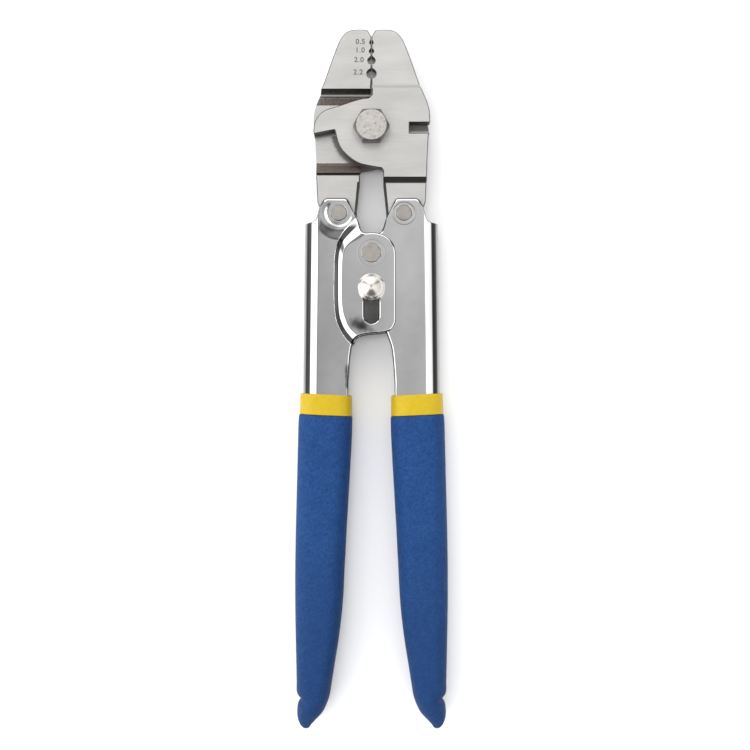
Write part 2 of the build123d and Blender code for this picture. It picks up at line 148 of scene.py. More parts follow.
def material(name):
    m = D.materials.new(name)
    m.use_nodes = True
    k = Nodes(m.node_tree)
    out = k.n("ShaderNodeOutputMaterial")
    bsdf = k.n("ShaderNodeBsdfPrincipled")
    k.t.links.new(bsdf.outputs[0], out.inputs[0])
    obj = k.n("ShaderNodeTexCoord").outputs["Object"]
    return m, k, bsdf, obj


# =====================================================================
# materials
# =====================================================================
# painted dark reflections and shade on the chrome: X, Y, half width, half height, turn, lowest and highest Z, how dark
PAINTED_DARK_SPOTS = [(-3.3, 19.5, 4.6, 2.5, -26, 16.2, 19.0, 0.92), (-14.6, 55.4, 5.0, 1.7, 28, 13.4, 16.0, 0.42),
         (-9.4, 30.0, 2.4, 13.0, 0, 13.4, 15.4, 0.16), (-8.75, -0.5, 0.85, 6.5, 2, 13.4, 15.4, 0.85)]


def mat_chrome(name, base=(0.80, 0.80, 0.81), wave=0.00005, rough=(0.035, 0.10), painted_marks=True):
    m, k, b, o = material(name)
    big = k.noise(o, 55.0, 2.0, 0.5)
    smudge = k.noise(o, 130.0, 5.0, 0.62, 0.4)
    fine = k.noise(k.stretch(o, 500, 40, 500), 1.0, 3.0, 0.6)
    k.put(b.inputs["Metallic"], 1.0)
    col = k.mix(k.remap(smudge, 0.3, 0.7, 0.0, 1.0), tuple(c * 0.93 for c in base), base)
    tone = k.noise(k.stretch(o, 42, 16, 42), 1.0, 2.0, 0.5, 0.3)
    col = k.mix(1.0, col, k.ramp(tone, [(0.28, 0.86), (0.50, 1.0), (0.72, 1.12)]), "MULTIPLY")
    if painted_marks:
        # painted dark reflections and shade: dark patches on the raised lobe, its joggle and the inner edge
        sp = k.n("ShaderNodeSeparateXYZ", None, **{"0": o})
        px, py, pz = sp.outputs
        warp = k.remap(k.noise(o, 170.0, 3.0, 0.55), 0.25, 0.75, -0.45, 0.45)
        for cx, cy, rx, ry, turn, zlo, zhi, deep in PAINTED_DARK_SPOTS:
            ct, st_ = math.cos(math.radians(turn)), math.sin(math.radians(turn))
            ax, ay = k.math("SUBTRACT", px, cx * MM), k.math("SUBTRACT", py, cy * MM)
            u = k.math("ADD", k.math("MULTIPLY", ax, ct / (rx * MM)), k.math("MULTIPLY", ay, st_ / (rx * MM)))
            v = k.math("ADD", k.math("MULTIPLY", ax, -st_ / (ry * MM)), k.math("MULTIPLY", ay, ct / (ry * MM)))
            rr = k.math("SQRT", k.math("ADD", k.math("MULTIPLY", u, u), k.math("MULTIPLY", v, v)))
            rr = k.math("ADD", rr, warp)
            inz = k.math("MULTIPLY", k.remap(pz, (zlo - 0.2) * MM, (zlo + 0.2) * MM, 0.0, 1.0),
                         k.remap(pz, (zhi - 0.2) * MM, (zhi + 0.2) * MM, 1.0, 0.0))
            painted_dark = k.math("MULTIPLY", k.remap(rr, 0.30, 1.30, 1.0, 0.0, True), inz)
            col = k.mix(k.math("MULTIPLY", painted_dark, deep), col, (0.035, 0.036, 0.040))
        # painted dark reflection band over the bends and the cut edges, by how steeply the surface tilts
        nz = k.math("ABSOLUTE", k.n("ShaderNodeSeparateXYZ", None, **{
            "0": k.n("ShaderNodeTexCoord").outputs["Normal"]}).outputs[2])
        thin = k.ramp(nz, [(0.0, 0.50), (0.50, 0.46), (0.60, 0.12), (0.64, 0.05), (0.845, 0.05), (0.885, 1.0)])
        col = k.mix(1.0, col, thin, "MULTIPLY")
    k.put(b.inputs["Base Color"], col)
    r = k.remap(smudge, 0.35, 0.75, rough[0], rough[1])
    r = k.math("ADD", r, k.remap(fine, 0.55, 0.8, 0.0, 0.05))
    k.put(b.inputs["Roughness"], r)
    n1 = k.bump(big, wave, 1.0)
    n2 = k.bump(fine, 0.0000012, 1.0, n1)
    k.put(b.inputs["Normal"], n2)
    return m


def mat_jaw():
    m, k, b, o = material("ground_jaw_steel")
    geo = k.n("ShaderNodeNewGeometry")
    nz = k.n("ShaderNodeSeparateXYZ", None, **{"0": geo.outputs["Normal"]}).outputs[2]
    nz = k.math("ABSOLUTE", nz)
    sep = k.n("ShaderNodeSeparateXYZ", None, **{"0": o})
    y, z = sep.outputs[1], sep.outputs[2]
    depth = k.math("ABSOLUTE", k.math("SUBTRACT", z, Z * MM))

    def between(v, a, c, soft=0.00006):
        lo = k.remap(v, a - soft, a + soft, 0.0, 1.0)
        hi = k.remap(v, c - soft, c + soft, 1.0, 0.0)
        return k.math("MULTIPLY", lo, hi)

    flat = k.remap(nz, 0.78, 0.88, 0.0, 1.0)
    wander = k.noise(o, 900.0, 3.0, 0.6)
    yw = k.math("ADD", y, k.remap(wander, 0.0, 1.0, -0.00022, 0.00022))
    # scale left by the forging in the two recessed bands
    inner = k.remap(depth, 0.0032, 0.0036, 1.0, 0.0)
    scale1 = k.math("MULTIPLY", between(yw, 0.1011, 0.1038), inner)
    outer_slope = k.remap(depth, 0.00395, 0.0043, 1.0, 0.0)
    scale2 = k.math("MULTIPLY", between(yw, 0.0757, 0.0798), outer_slope)
    scale = k.math("MAXIMUM", scale1, scale2)
    # painted shade in the foot of the hub step and in the groove above the arm
    step = k.math("MULTIPLY", between(y, 0.07185, 0.07415),
                  k.math("MULTIPLY", k.remap(depth, 0.0037, 0.0038, 0.0, 1.0),
                         k.remap(nz, 0.92, 0.96, 1.0, 0.0)))
    groove_shade = k.math("MULTIPLY", between(y, 0.07472, 0.07565), k.math("MULTIPLY", k.remap(
        depth, 0.0030, 0.0031, 0.0, 1.0), k.remap(depth, 0.0040, 0.0042, 1.0, 0.0)))
    dark = k.math("MAXIMUM", k.math("MULTIPLY", step, k.remap(y, 0.0719, 0.0724, 0.62, 0.94)), groove_shade)
    # painted shadow beside the hub edge, on the plate it turns over
    x = sep.outputs[0]
    hx, hy = k.math("SUBTRACT", x, 0.0006), k.math("SUBTRACT", y, 0.0925)
    hr = k.math("SQRT", k.math("ADD", k.math("MULTIPLY", hx, hx), k.math("MULTIPLY", hy, hy)))
    hr = k.math("ADD", hr, k.remap(wander, 0.0, 1.0, -0.0005, 0.0005))
    painted_shadow = k.math("MULTIPLY", k.remap(hr, 0.0149, 0.0163, 1.0, 0.0, True),
                 k.math("MULTIPLY", k.remap(depth, 0.0008, 0.0016, 1.0, 0.0), k.remap(y, 0.0895, 0.0905, 1.0, 0.0)))
    # and painted shadow under the hook, and behind the cutter notch
    low_edge = k.math("SUBTRACT", k.math("ADD", 0.08965, k.math("MULTIPLY", k.math("ADD", x, 0.02095), 0.195)), y)
    hook_shadow = k.math("MULTIPLY", k.remap(low_edge, 0.0003, 0.0015, 1.0, 0.0, True),
                  k.math("MULTIPLY", k.remap(x, -0.0134, -0.0130, 1.0, 0.0), k.remap(low_edge, -0.0012, -0.0008, 0.0, 1.0)))
    back = k.math("MULTIPLY", between(x, 0.0135, 0.0216), k.remap(y, 0.0909, 0.0919, 0.0, 1.0, True))
    back = k.math("MULTIPLY", back, k.remap(y, 0.0945, 0.0948, 1.0, 0.0))
    low_face = k.remap(depth, 0.0008, 0.0016, 1.0, 0.0)
    # painted light: nest walls near the parting plane coloured near-white, standing in for the lit floor seen through
    # the holes
    nest_painted_light = k.math("MULTIPLY", between(y, 0.1072, 0.1253), k.remap(k.math("ABSOLUTE", x), 0.0020, 0.0022, 1.0, 0.0))
    nest_painted_light = k.math("MULTIPLY", nest_painted_light, k.math("MULTIPLY", k.math("SUBTRACT", 1.0, flat),
                                           k.remap(z, (Z - 0.2) * MM, (Z + 1.2) * MM, 1.0, 0.0)))
    painted_shadow = k.math("MAXIMUM", painted_shadow, k.math("MULTIPLY", k.math("MAXIMUM", hook_shadow, back), low_face))
    painted_shadow = k.math("MULTIPLY", painted_shadow, 0.74)
    # surface looks
    lines = k.noise(k.stretch(o, 70, 3400, 300), 1.0, 4.0, 0.65)
    broad = k.noise(k.stretch(o, 60, 160, 60), 1.0, 3.0, 0.5)
    ground = k.mix(k.remap(lines, 0.25, 0.75, 0.0, 1.0), (0.510, 0.500, 0.488), (0.590, 0.581, 0.568))
    ground = k.mix(k.remap(broad, 0.3, 0.75, 0.0, 0.5), ground, (0.395, 0.380, 0.365))
    speck = k.noise(o, 1900.0, 6.0, 0.7)
    blotch = k.noise(k.stretch(o, 260, 500, 260), 1.0, 4.0, 0.6)
    rust = k.mix(k.remap(speck, 0.34, 0.68, 0.0, 1.0), (0.060, 0.046, 0.040), (0.20, 0.163, 0.145))
    rust = k.mix(k.remap(blotch, 0.35, 0.75, 0.0, 0.75), rust, (0.135, 0.107, 0.094))
    # dark flanks, chosen by slope: darker steel on the flanks, darkened further as painted shade
    flank_steel_and_shade = k.mix(k.remap(blotch, 0.3, 0.75, 0.0, 1.0), (0.040, 0.037, 0.035), (0.13, 0.122, 0.115))
    col = k.mix(flat, flank_steel_and_shade, ground)
    col = k.mix(scale, col, rust)
    col = k.mix(dark, col, (0.030, 0.026, 0.024))
    # painted shadow by the hub, under the hook and behind the notch
    col = k.mix(painted_shadow, col, (0.060, 0.052, 0.046))
    col = k.mix(nest_painted_light, col, (0.92, 0.91, 0.89))
    k.put(b.inputs["Base Color"], col)
    k.put(b.inputs["Metallic"], k.math("SUBTRACT", 1.0, k.math("MULTIPLY", scale, 0.55)))
    r = k.remap(lines, 0.2, 0.8, 0.36, 0.46)
    r = k.mix(flat, (0.42, 0.42, 0.42), r)
    r = k.mix(scale, r, (0.62, 0.62, 0.62))
    k.put(b.inputs["Roughness"], r)
    h = k.math("MULTIPLY", lines, k.math("SUBTRACT", 1.0, scale))
    n1 = k.bump(h, 0.000007, 1.0)
    n2 = k.bump(k.math("MULTIPLY", speck, k.math("MAXIMUM", scale, k.math(
        "MULTIPLY", k.math("SUBTRACT", 1.0, flat), 0.5))), 0.00022, 1.0, n1)
    k.put(b.inputs["Normal"], n2)
    return m


def mat_zinc(name, base=(0.80, 0.77, 0.725)):
    m, k, b, o = material(name)
    geo = k.n("ShaderNodeNewGeometry")
    nz = k.math("ABSOLUTE", k.n("ShaderNodeSeparateXYZ", None, **{"0": geo.outputs["Normal"]}).outputs[2])
    mott = k.noise(o, 850.0, 5.0, 0.68, 0.6)
    cells = k.n("ShaderNodeTexVoronoi", {"feature": "F1"}, Vector=o, Scale=900.0).outputs[0]
    v = k.math("ADD", k.math("MULTIPLY", mott, 0.75), k.math("MULTIPLY", cells, 0.25))
    col = k.ramp(v, [(0.30, tuple(c * 0.50 for c in base)), (0.46, tuple(c * 0.84 for c in base)),
                     (0.62, base), (0.80, tuple(min(1.0, c * 1.12) for c in base))])
    # painted shade: the steep flanks are coloured far darker than the tops
    side = k.mix(k.remap(mott, 0.3, 0.7, 0, 1), tuple(c * 0.14 for c in base), tuple(c * 0.36 for c in base))
    col = k.mix(k.remap(nz, 0.87, 0.95, 0.0, 1.0), side, col)
    k.put(b.inputs["Base Color"], col)
    k.put(b.inputs["Metallic"], 0.85)
    k.put(b.inputs["Roughness"], k.remap(mott, 0.3, 0.7, 0.52, 0.34))
    k.put(b.inputs["Normal"], k.bump(v, 0.00005, 1.0))
    return m


def mat_rivet(name, centre, base=(0.352, 0.326, 0.304)):
    m, k, b, o = material(name)
    sep = k.n("ShaderNodeSeparateXYZ", None, **{"0": o})
    dx = k.math("SUBTRACT", sep.outputs[0], centre[0] * MM)
    dy = k.math("SUBTRACT", sep.outputs[1], centre[1] * MM)
    rad = k.math("SQRT", k.math("ADD", k.math("MULTIPLY", dx, dx), k.math("MULTIPLY", dy, dy)))
    rings = k.noise(k.n("ShaderNodeCombineXYZ", None, X=k.math("MULTIPLY", rad, 5200.0)), 1.0, 2.0, 0.5)
    mott = k.noise(o, 700.0, 4.0, 0.6)
    col = k.mix(k.remap(mott, 0.3, 0.7, 0, 1), tuple(c * 0.82 for c in base), base)
    col = k.mix(k.remap(rings, 0.3, 0.7, 0.0, 0.35), col, tuple(c * 1.15 for c in base))
    k.put(b.inputs["Base Color"], col)
    k.put(b.inputs["Metallic"], 0.95)
    k.put(b.inputs["Roughness"], k.remap(mott, 0.3, 0.7, 0.38, 0.52))
    k.put(b.inputs["Normal"], k.bump(rings, 0.000012, 1.0))
    return m


def mat_dark_steel(name, base=(0.16, 0.16, 0.165), rough=0.38):
    m, k, b, o = material(name)
    v = k.noise(o, 800.0, 4.0, 0.6)
    k.put(b.inputs["Base Color"], k.mix(k.remap(v, 0.3, 0.7, 0, 1), tuple(c * 0.7 for c in base), base))
    k.put(b.inputs["Metallic"], 1.0)
    k.put(b.inputs["Roughness"], k.remap(v, 0.3, 0.7, rough, rough + 0.15))
    k.put(b.inputs["Normal"], k.bump(v, 0.00002, 1.0))
    return m


def mat_vinyl(name, base, dark, rough, grain, bump, spec=0.35, light=None, fade=1.0, gr=0.7):
    m, k, b, o = material(name)
    pebble = k.n("ShaderNodeTexVoronoi", {"feature": "SMOOTH_F1"}, Vector=o, Scale=grain).outputs[0]
    fine = k.noise(o, grain * 1.7, 4.0, 0.7)
    soft = k.noise(o, 60.0, 4.0, 0.55)
    mid = k.noise(o, 420.0, 4.0, 0.65)
    h = k.math("ADD", k.math("MULTIPLY", pebble, 0.6), k.math("MULTIPLY", fine, 0.7))
    col = k.mix(k.remap(soft, 0.3, 0.7, 0.0, 1.0), base, dark)
    col = k.mix(k.remap(mid, 0.35, 0.7, 0.0, 0.6), col, light or tuple(c * 1.25 for c in base))
    if fade < 1.0:
        y = k.n("ShaderNodeSeparateXYZ", None, **{"0": o}).outputs[1]
        col = k.mix(k.remap(y, -0.035, -0.115, 0.0, 1.0, True), col, (fade, fade, fade), "MULTIPLY")
        # painted shade: the sides facing +X, away from the light on the left, are a little darker
        nx = k.n("ShaderNodeSeparateXYZ", None, **{"0": k.n("ShaderNodeTexCoord").outputs["Normal"]}).outputs[0]
        col = k.mix(k.remap(nx, 0.12, 0.65, 0.0, 1.0, True), col, (0.80, 0.84, 0.86), "MULTIPLY")
    col = k.mix(k.remap(h, 0.40, 0.85, 0.0, gr), col, tuple(c * 0.45 for c in base))
    k.put(b.inputs["Base Color"], col)
    k.put(b.inputs["Roughness"], k.remap(fine, 0.3, 0.7, rough, rough + 0.12))
    k.put(b.inputs["Specular IOR Level"], spec)
    k.put(b.inputs["Normal"], k.bump(h, bump, 1.0, k.bump(soft, 0.00012, 1.0)))
    return m


M_CHROME = mat_chrome("mirror_chrome", (0.75, 0.75, 0.76), 0.00007)
M_KNOB = mat_chrome("knob_chrome", (0.66, 0.625, 0.59), 0.00001, (0.24, 0.29), False)
M_INNER = mat_dark_steel("inner_sheet", (0.50, 0.495, 0.49), 0.42)
M_JAW = mat_jaw()
M_ZINC = mat_zinc("mottled_zinc", (0.505, 0.480, 0.455))
M_NUT = mat_zinc("nut_zinc", (0.46, 0.45, 0.43))
M_SPRING = mat_dark_steel("spring_wire")
M_BUSH = mat_dark_steel("bush_steel", (0.36, 0.35, 0.34), 0.32)
M_BLUE = mat_vinyl("blue_vinyl", (0.0120, 0.060, 0.208), (0.0090, 0.050, 0.183), 0.60, 1300.0, 0.00042,
                   0.16, (0.021, 0.078, 0.250), fade=0.74)
M_YELLOW = mat_vinyl("yellow_vinyl", (0.500, 0.345, 0.006), (0.480, 0.330, 0.005), 0.36, 700.0, 0.00001, 0.28,
                     (0.510, 0.352, 0.007), gr=0.15)
M_MARK = mat_dark_steel("etched_mark", (0.17, 0.15, 0.14), 0.6)


# =====================================================================
# small geometry tools (millimetres)
# =====================================================================
def smooth(pts, n=6):
    """Catmull-Rom points through pts, open."""
    out = []
    P = [pts[0]] + list(pts) + [pts[-1]]
    for i in range(1, len(P) - 2):
        p0, p1, p2, p3 = P[i - 1], P[i], P[i + 1], P[i + 2]
        for k in range(n):
            t = k / n
            out.append(tuple(
                0.5 * ((2 * p1[j]) + (-p0[j] + p2[j]) * t
                       + (2 * p0[j] - 5 * p1[j] + 4 * p2[j] - p3[j]) * t * t
                       + (-p0[j] + 3 * p1[j] - 3 * p2[j] + p3[j]) * t ** 3)
                for j in (0, 1)))
    out.append(tuple(pts[-1]))
    return out


def round_corners(pts, radius, limit=14.0, seg=5):
    """Closed outline with every corner sharper than limit degrees rounded."""
    out, n = [], len(pts)
    for i in range(n):
        a, b, c = (np.array(pts[i - 1]), np.array(pts[i]), np.array(pts[(i + 1) % n]))
        u, v = a - b, c - b
        lu, lv = np.linalg.norm(u), np.linalg.norm(v)
        u, v = u / lu, v / lv
        turn = math.degrees(math.pi - math.acos(max(-1, min(1, float(u @ v)))))
        if turn < limit:
            out.append(tuple(b))
            continue
        half = math.radians(180 - turn) / 2
        d = min(radius(b) / math.tan(half), lu * 0.47, lv * 0.47)
        for k in range(seg + 1):
            t = k / seg
            p = (b + u * d) * (1 - t) ** 2 + b * 2 * t * (1 - t) + (b + v * d) * t * t
            out.append(tuple(p))
    return out


def subdivide(pts, step_of):
    """Closed outline with long runs cut; step_of(point) is the longest run there."""
    out, n = [], len(pts)
    for i in range(n):
        a, b = np.array(pts[i]), np.array(pts[(i + 1) % n])
        L = np.linalg.norm(b - a)
        if L < 1e-6:
            continue
        m = max(1, int(math.ceil(L / step_of((a + b) / 2))))
        for k in range(m):
            out.append(tuple(a + (b - a) * k / m))
    return out


def area2(p):
    p = np.array(p)
    q = np.roll(p, -1, 0)
    return float(np.sum(p[:, 0] * q[:, 1] - q[:, 0] * p[:, 1]))


def offsets(pts):
    """Outward miter vectors of a counter-clockwise closed outline."""
    p = np.array(pts)
    e = np.roll(p, -1, 0) - p
    e /= np.linalg.norm(e, axis=1)[:, None]
    nrm = np.stack([e[:, 1], -e[:, 0]], 1)
    prev = np.roll(nrm, 1, 0)
    m = prev + nrm
    s = np.maximum((m * m).sum(1), 1.2)
    return m * 2 / s[:, None]


def inside(poly, pts):
    """Even-odd test of many points."""
    poly, pts = np.array(poly), np.array(pts)
    x, y = pts[:, 0], pts[:, 1]
    r = np.zeros(len(pts), bool)
    n = len(poly)
    for i in range(n):
        x1, y1 = poly[i]
        x2, y2 = poly[(i + 1) % n]
        if y1 == y2:
            continue
        c = ((y1 > y) != (y2 > y)) & (x < (x2 - x1) * (y - y1) / (y2 - y1) + x1)
        r ^= c
    return r


def dist_to(line, pts, closed=False):
    """Distance of many points to a polyline."""
    line, pts = np.array(line), np.array(pts)
    best = np.full(len(pts), 1e9)
    last = len(line) if closed else len(line) - 1
    for i in range(last):
        a, b = line[i], line[(i + 1) % len(line)]
        ab = b - a
        t = np.clip(((pts - a) @ ab) / max(ab @ ab, 1e-12), 0, 1)
        d = np.linalg.norm(pts - (a + t[:, None] * ab), axis=1)
        best = np.minimum(best, d)
    return best


def mesh_object(name, verts, faces, mat, normals=None, smooth_on=True):
    me = D.meshes.new(name)
    me.from_pydata([tuple(v) for v in np.asarray(verts, float) * MM], [], [list(map(int, f)) for f in faces])
    me.validate()
    me.update()
    if smooth_on:
        me.polygons.foreach_set("use_smooth", [True] * len(me.polygons))
    if normals is not None:
        me.normals_split_custom_set_from_vertices([tuple(n) for n in normals])
    me.materials.append(mat)
    ob = D.objects.new(name, me)
    scene.collection.objects.link(ob)
    return ob


def put(piece, body, slot, *nodes):
    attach(piece, body)
    if nodes:
        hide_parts(*nodes)
    return piece


# =====================================================================
# pressed handles: one flat pattern each, rolled round the bend
# =====================================================================
SHEET = 2.2
CHEEK_OUT = 6.0
LOBE_RISE = 2.25
BEND_R = 5.6
WEB = 2 * CHEEK_OUT - 2 * BEND_R
QUARTER = math.pi * BEND_R / 2
ARM_PIN = (11.8, 60.8)
HANDLE_PIN = (0.0, 46.1)
ARM_PIN_R, HANDLE_PIN_R = 2.8, 3.45
LATCH_Y, LATCH_TRAVEL = 33.4, 10.0

web_y = np.array([-120.0, -104.0, -70.0, -4.3, 57.3, 80.0])
web_x = np.array([25.6, 25.6, 26.2, 25.1, 24.4, 24.4])


def bend_start(y):
    return np.interp(y, web_y, web_x) - BEND_R


ear_up = [(5.0, 57.9), (7.2, 62.7), (8.8, 66.4), (16.5, 66.4), (17.7, 65.4), (18.6, 63.6),
          (19.9, 59.3), (20.5, 58.2), (21.2, 57.95)]
grip_inner = [(15.6, -106.0), (11.6, -66.0), (9.2, -14.0), (8.6, -5.4)]
right_path = (grip_inner + smooth([(8.4, 0.0), (7.9, 7.0), (7.3, 11.8), (6.2, 15.4), (5.1, 18.4)], 5)
              + [(5.0, 19.5)])
a0, a1 = math.atan2(41.95 - 46.1, 5.0), math.atan2(6.40, 1.14) - 2 * math.pi
right_path += [(6.5 * math.cos(a0 + (a1 - a0) * k / 26), 46.1 + 6.5 * math.sin(a0 + (a1 - a0) * k / 26))
               for k in range(27)]
right_path += [(3.7, 54.1), (4.3, 55.6)] + ear_up
left_path = (grip_inner + smooth([(8.4, 0.0), (7.9, 7.0), (7.3, 11.8), (6.4, 14.4), (4.6, 16.0),
                                  (2.0, 16.7), (-1.0, 17.0), (-5.2, 17.5), (-7.5, 18.6), (-8.8, 21.2),
                                  (-8.9, 24.0)], 6)
             + smooth([(-8.9, 43.5), (-8.8, 46.4), (-8.1, 49.0), (-6.0, 51.7), (-3.2, 53.1),
                       (-0.4, 53.5), (2.2, 53.4), (3.6, 54.1), (4.3, 55.6)], 6)
             + ear_up)

# joggle of the left lobes: foot line and top line, in outward X
FOOT = [(1.0, 63.2), (4.6, 60.0), (8.0, 56.8), (10.7, 53.4), (12.5, 49.6), (13.4, 44.7), (13.55, 39.0),
        (13.6, 31.0), (13.3, 25.0), (12.5, 20.9), (10.8, 17.2), (7.8, 13.4), (3.0, 9.0)]
CREST = [(-3.6, 56.2), (0.6, 53.2), (4.4, 50.8), (7.7, 49.1), (9.5, 47.0), (10.2, 43.5), (10.45, 38.0),
         (10.5, 31.0), (10.2, 26.3), (9.2, 22.6), (7.4, 19.4), (4.4, 16.4), (0.0, 12.4)]
foot_line, crest_line = smooth(FOOT, 8), smooth(CREST, 8)
foot_poly = [(-14, 64)] + foot_line + [(-14, 9)]
crest_poly = [(-14, 58)] + crest_line + [(-14, 12)]

# height profile across the joggle: sharp foot, long round crest
_u = np.linspace(0, 1, 401)
_t = np.interp(_u, [0.0, 0.04, 0.38, 0.46, 0.75, 1.0], [0.0, 1.15, 1.15, 0.60, 0.30, 0.0])
_h = np.concatenate([[0], np.cumsum((_t[1:] + _t[:-1]) / 2 * np.diff(_u))])
_h /= _h[-1]


def joggle(pts):
    pts = np.asarray(pts, float)
    out = np.zeros(len(pts))
    near = (pts[:, 0] < 15) & (pts[:, 1] > 8) & (pts[:, 1] < 63)
    q = pts[near]
    if len(q):
        in_crest = inside(crest_poly, q)
        in_foot = inside(foot_poly, q)
        da, db = dist_to(foot_line, q), dist_to(crest_line, q)
        u = np.clip(da / np.maximum(da + db, 1e-9), 0, 1)
        h = np.interp(u, _u, _h) * LOBE_RISE
        h[~in_foot] = 0
        h[in_crest] = LOBE_RISE
        out[near] = h
    return out


def ring(pts, c, r, depth, width):
    d = np.hypot(pts[:, 0] - c[0], pts[:, 1] - c[1])
    return -depth * np.exp(-((d - r) / width) ** 2)


def dish(pts, c, r, depth):
    d = np.hypot(pts[:, 0] - c[0], pts[:, 1] - c[1])
    return -depth * np.clip(1 - (d / r) ** 2, 0, 1) ** 1.5


def ease(t):
    t = np.clip(t, 0, 1)
    return t * t * (3 - 2 * t)


def height(pts, left):
    pts = np.asarray(pts, float)
    h = joggle(pts) if left else np.zeros(len(pts))
    if left:
        d = np.hypot(pts[:, 0] - ARM_PIN[0], pts[:, 1] - ARM_PIN[1])
        phi = np.arctan2(pts[:, 1] - ARM_PIN[1], pts[:, 0] - ARM_PIN[0]) - math.radians(290)
        h = h - 0.24 * ease(0.55 + 0.8 * np.cos(phi)) * ease((d - 4.1) / 1.3) * (1 - ease((d - 5.6) / 5.0))
        h = h + ring(pts, HANDLE_PIN, 4.9, 0.016, 0.22)
        # the press marks of the lobe's lower corner and its shoulder
        h = h + dish(pts, (5.6, 20.6), 3.6, 0.10) + dish(pts, (9.6, 56.0), 5.0, 0.06)
    else:
        h = h + ring(pts, ARM_PIN, 4.1, 0.016, 0.22)
    # faint pressing waves in the flat sheet
    x, y = pts[:, 0], pts[:, 1]
    h = h + 0.012 * np.sin(x * 0.42 + 0.6) * np.cos(y * 0.105 + 0.4) + 0.010 * np.sin(y * 0.21 + x * 0.13)
    return h - 0.022


def roll(sy, depth, left):
    """Pattern point and depth under the outer skin -> point and outer normal."""
    sy = np.asarray(sy, float)
    s, y = sy[:, 0], sy[:, 1]
    e = bend_start(y)
    total = 2 * e + 2 * QUARTER + WEB
    rear = s > e + QUARTER + WEB / 2
    sf = np.where(rear, total - s, s)           # front half of the pattern
    d = sf - e
    P, N = np.zeros((len(s), 3)), np.zeros((len(s), 3))
    flat = d <= 0
    th = np.clip(d / BEND_R, 0, math.pi / 2)
    P[:, 0] = np.where(flat, sf, e + BEND_R * np.sin(th))
    P[:, 1] = y
    drop = np.where(flat, 0, BEND_R * (1 - np.cos(th)))
    past = np.clip(d - QUARTER, 0, WEB / 2)
    P[:, 2] = CHEEK_OUT - drop - past
    N[:, 0], N[:, 2] = np.where(flat, 0, np.sin(th)), np.where(flat, 1, np.cos(th))
    q = np.stack([sf, y], 1)
    h = height(q, left)
    ee = 0.02
    gx = (height(q + [ee, 0], left) - height(q - [ee, 0], left)) / (2 * ee)
    gy = (height(q + [0, ee], left) - height(q - [0, ee], left)) / (2 * ee)
    fade = np.clip(1 - d / 0.5, 0, 1)
    h, gx, gy = h * fade, gx * fade, gy * fade
    P += N * h[:, None]
    G = N.copy()
    G[:, 0] -= gx
    G[:, 1] -= gy
    G /= np.linalg.norm(G, axis=1)[:, None]
    P = P - G * np.asarray(depth)[:, None]
    P[:, 2] = np.where(rear, -P[:, 2], P[:, 2]) + Z
    G[:, 2] = np.where(rear, -G[:, 2], G[:, 2])
    return P, G


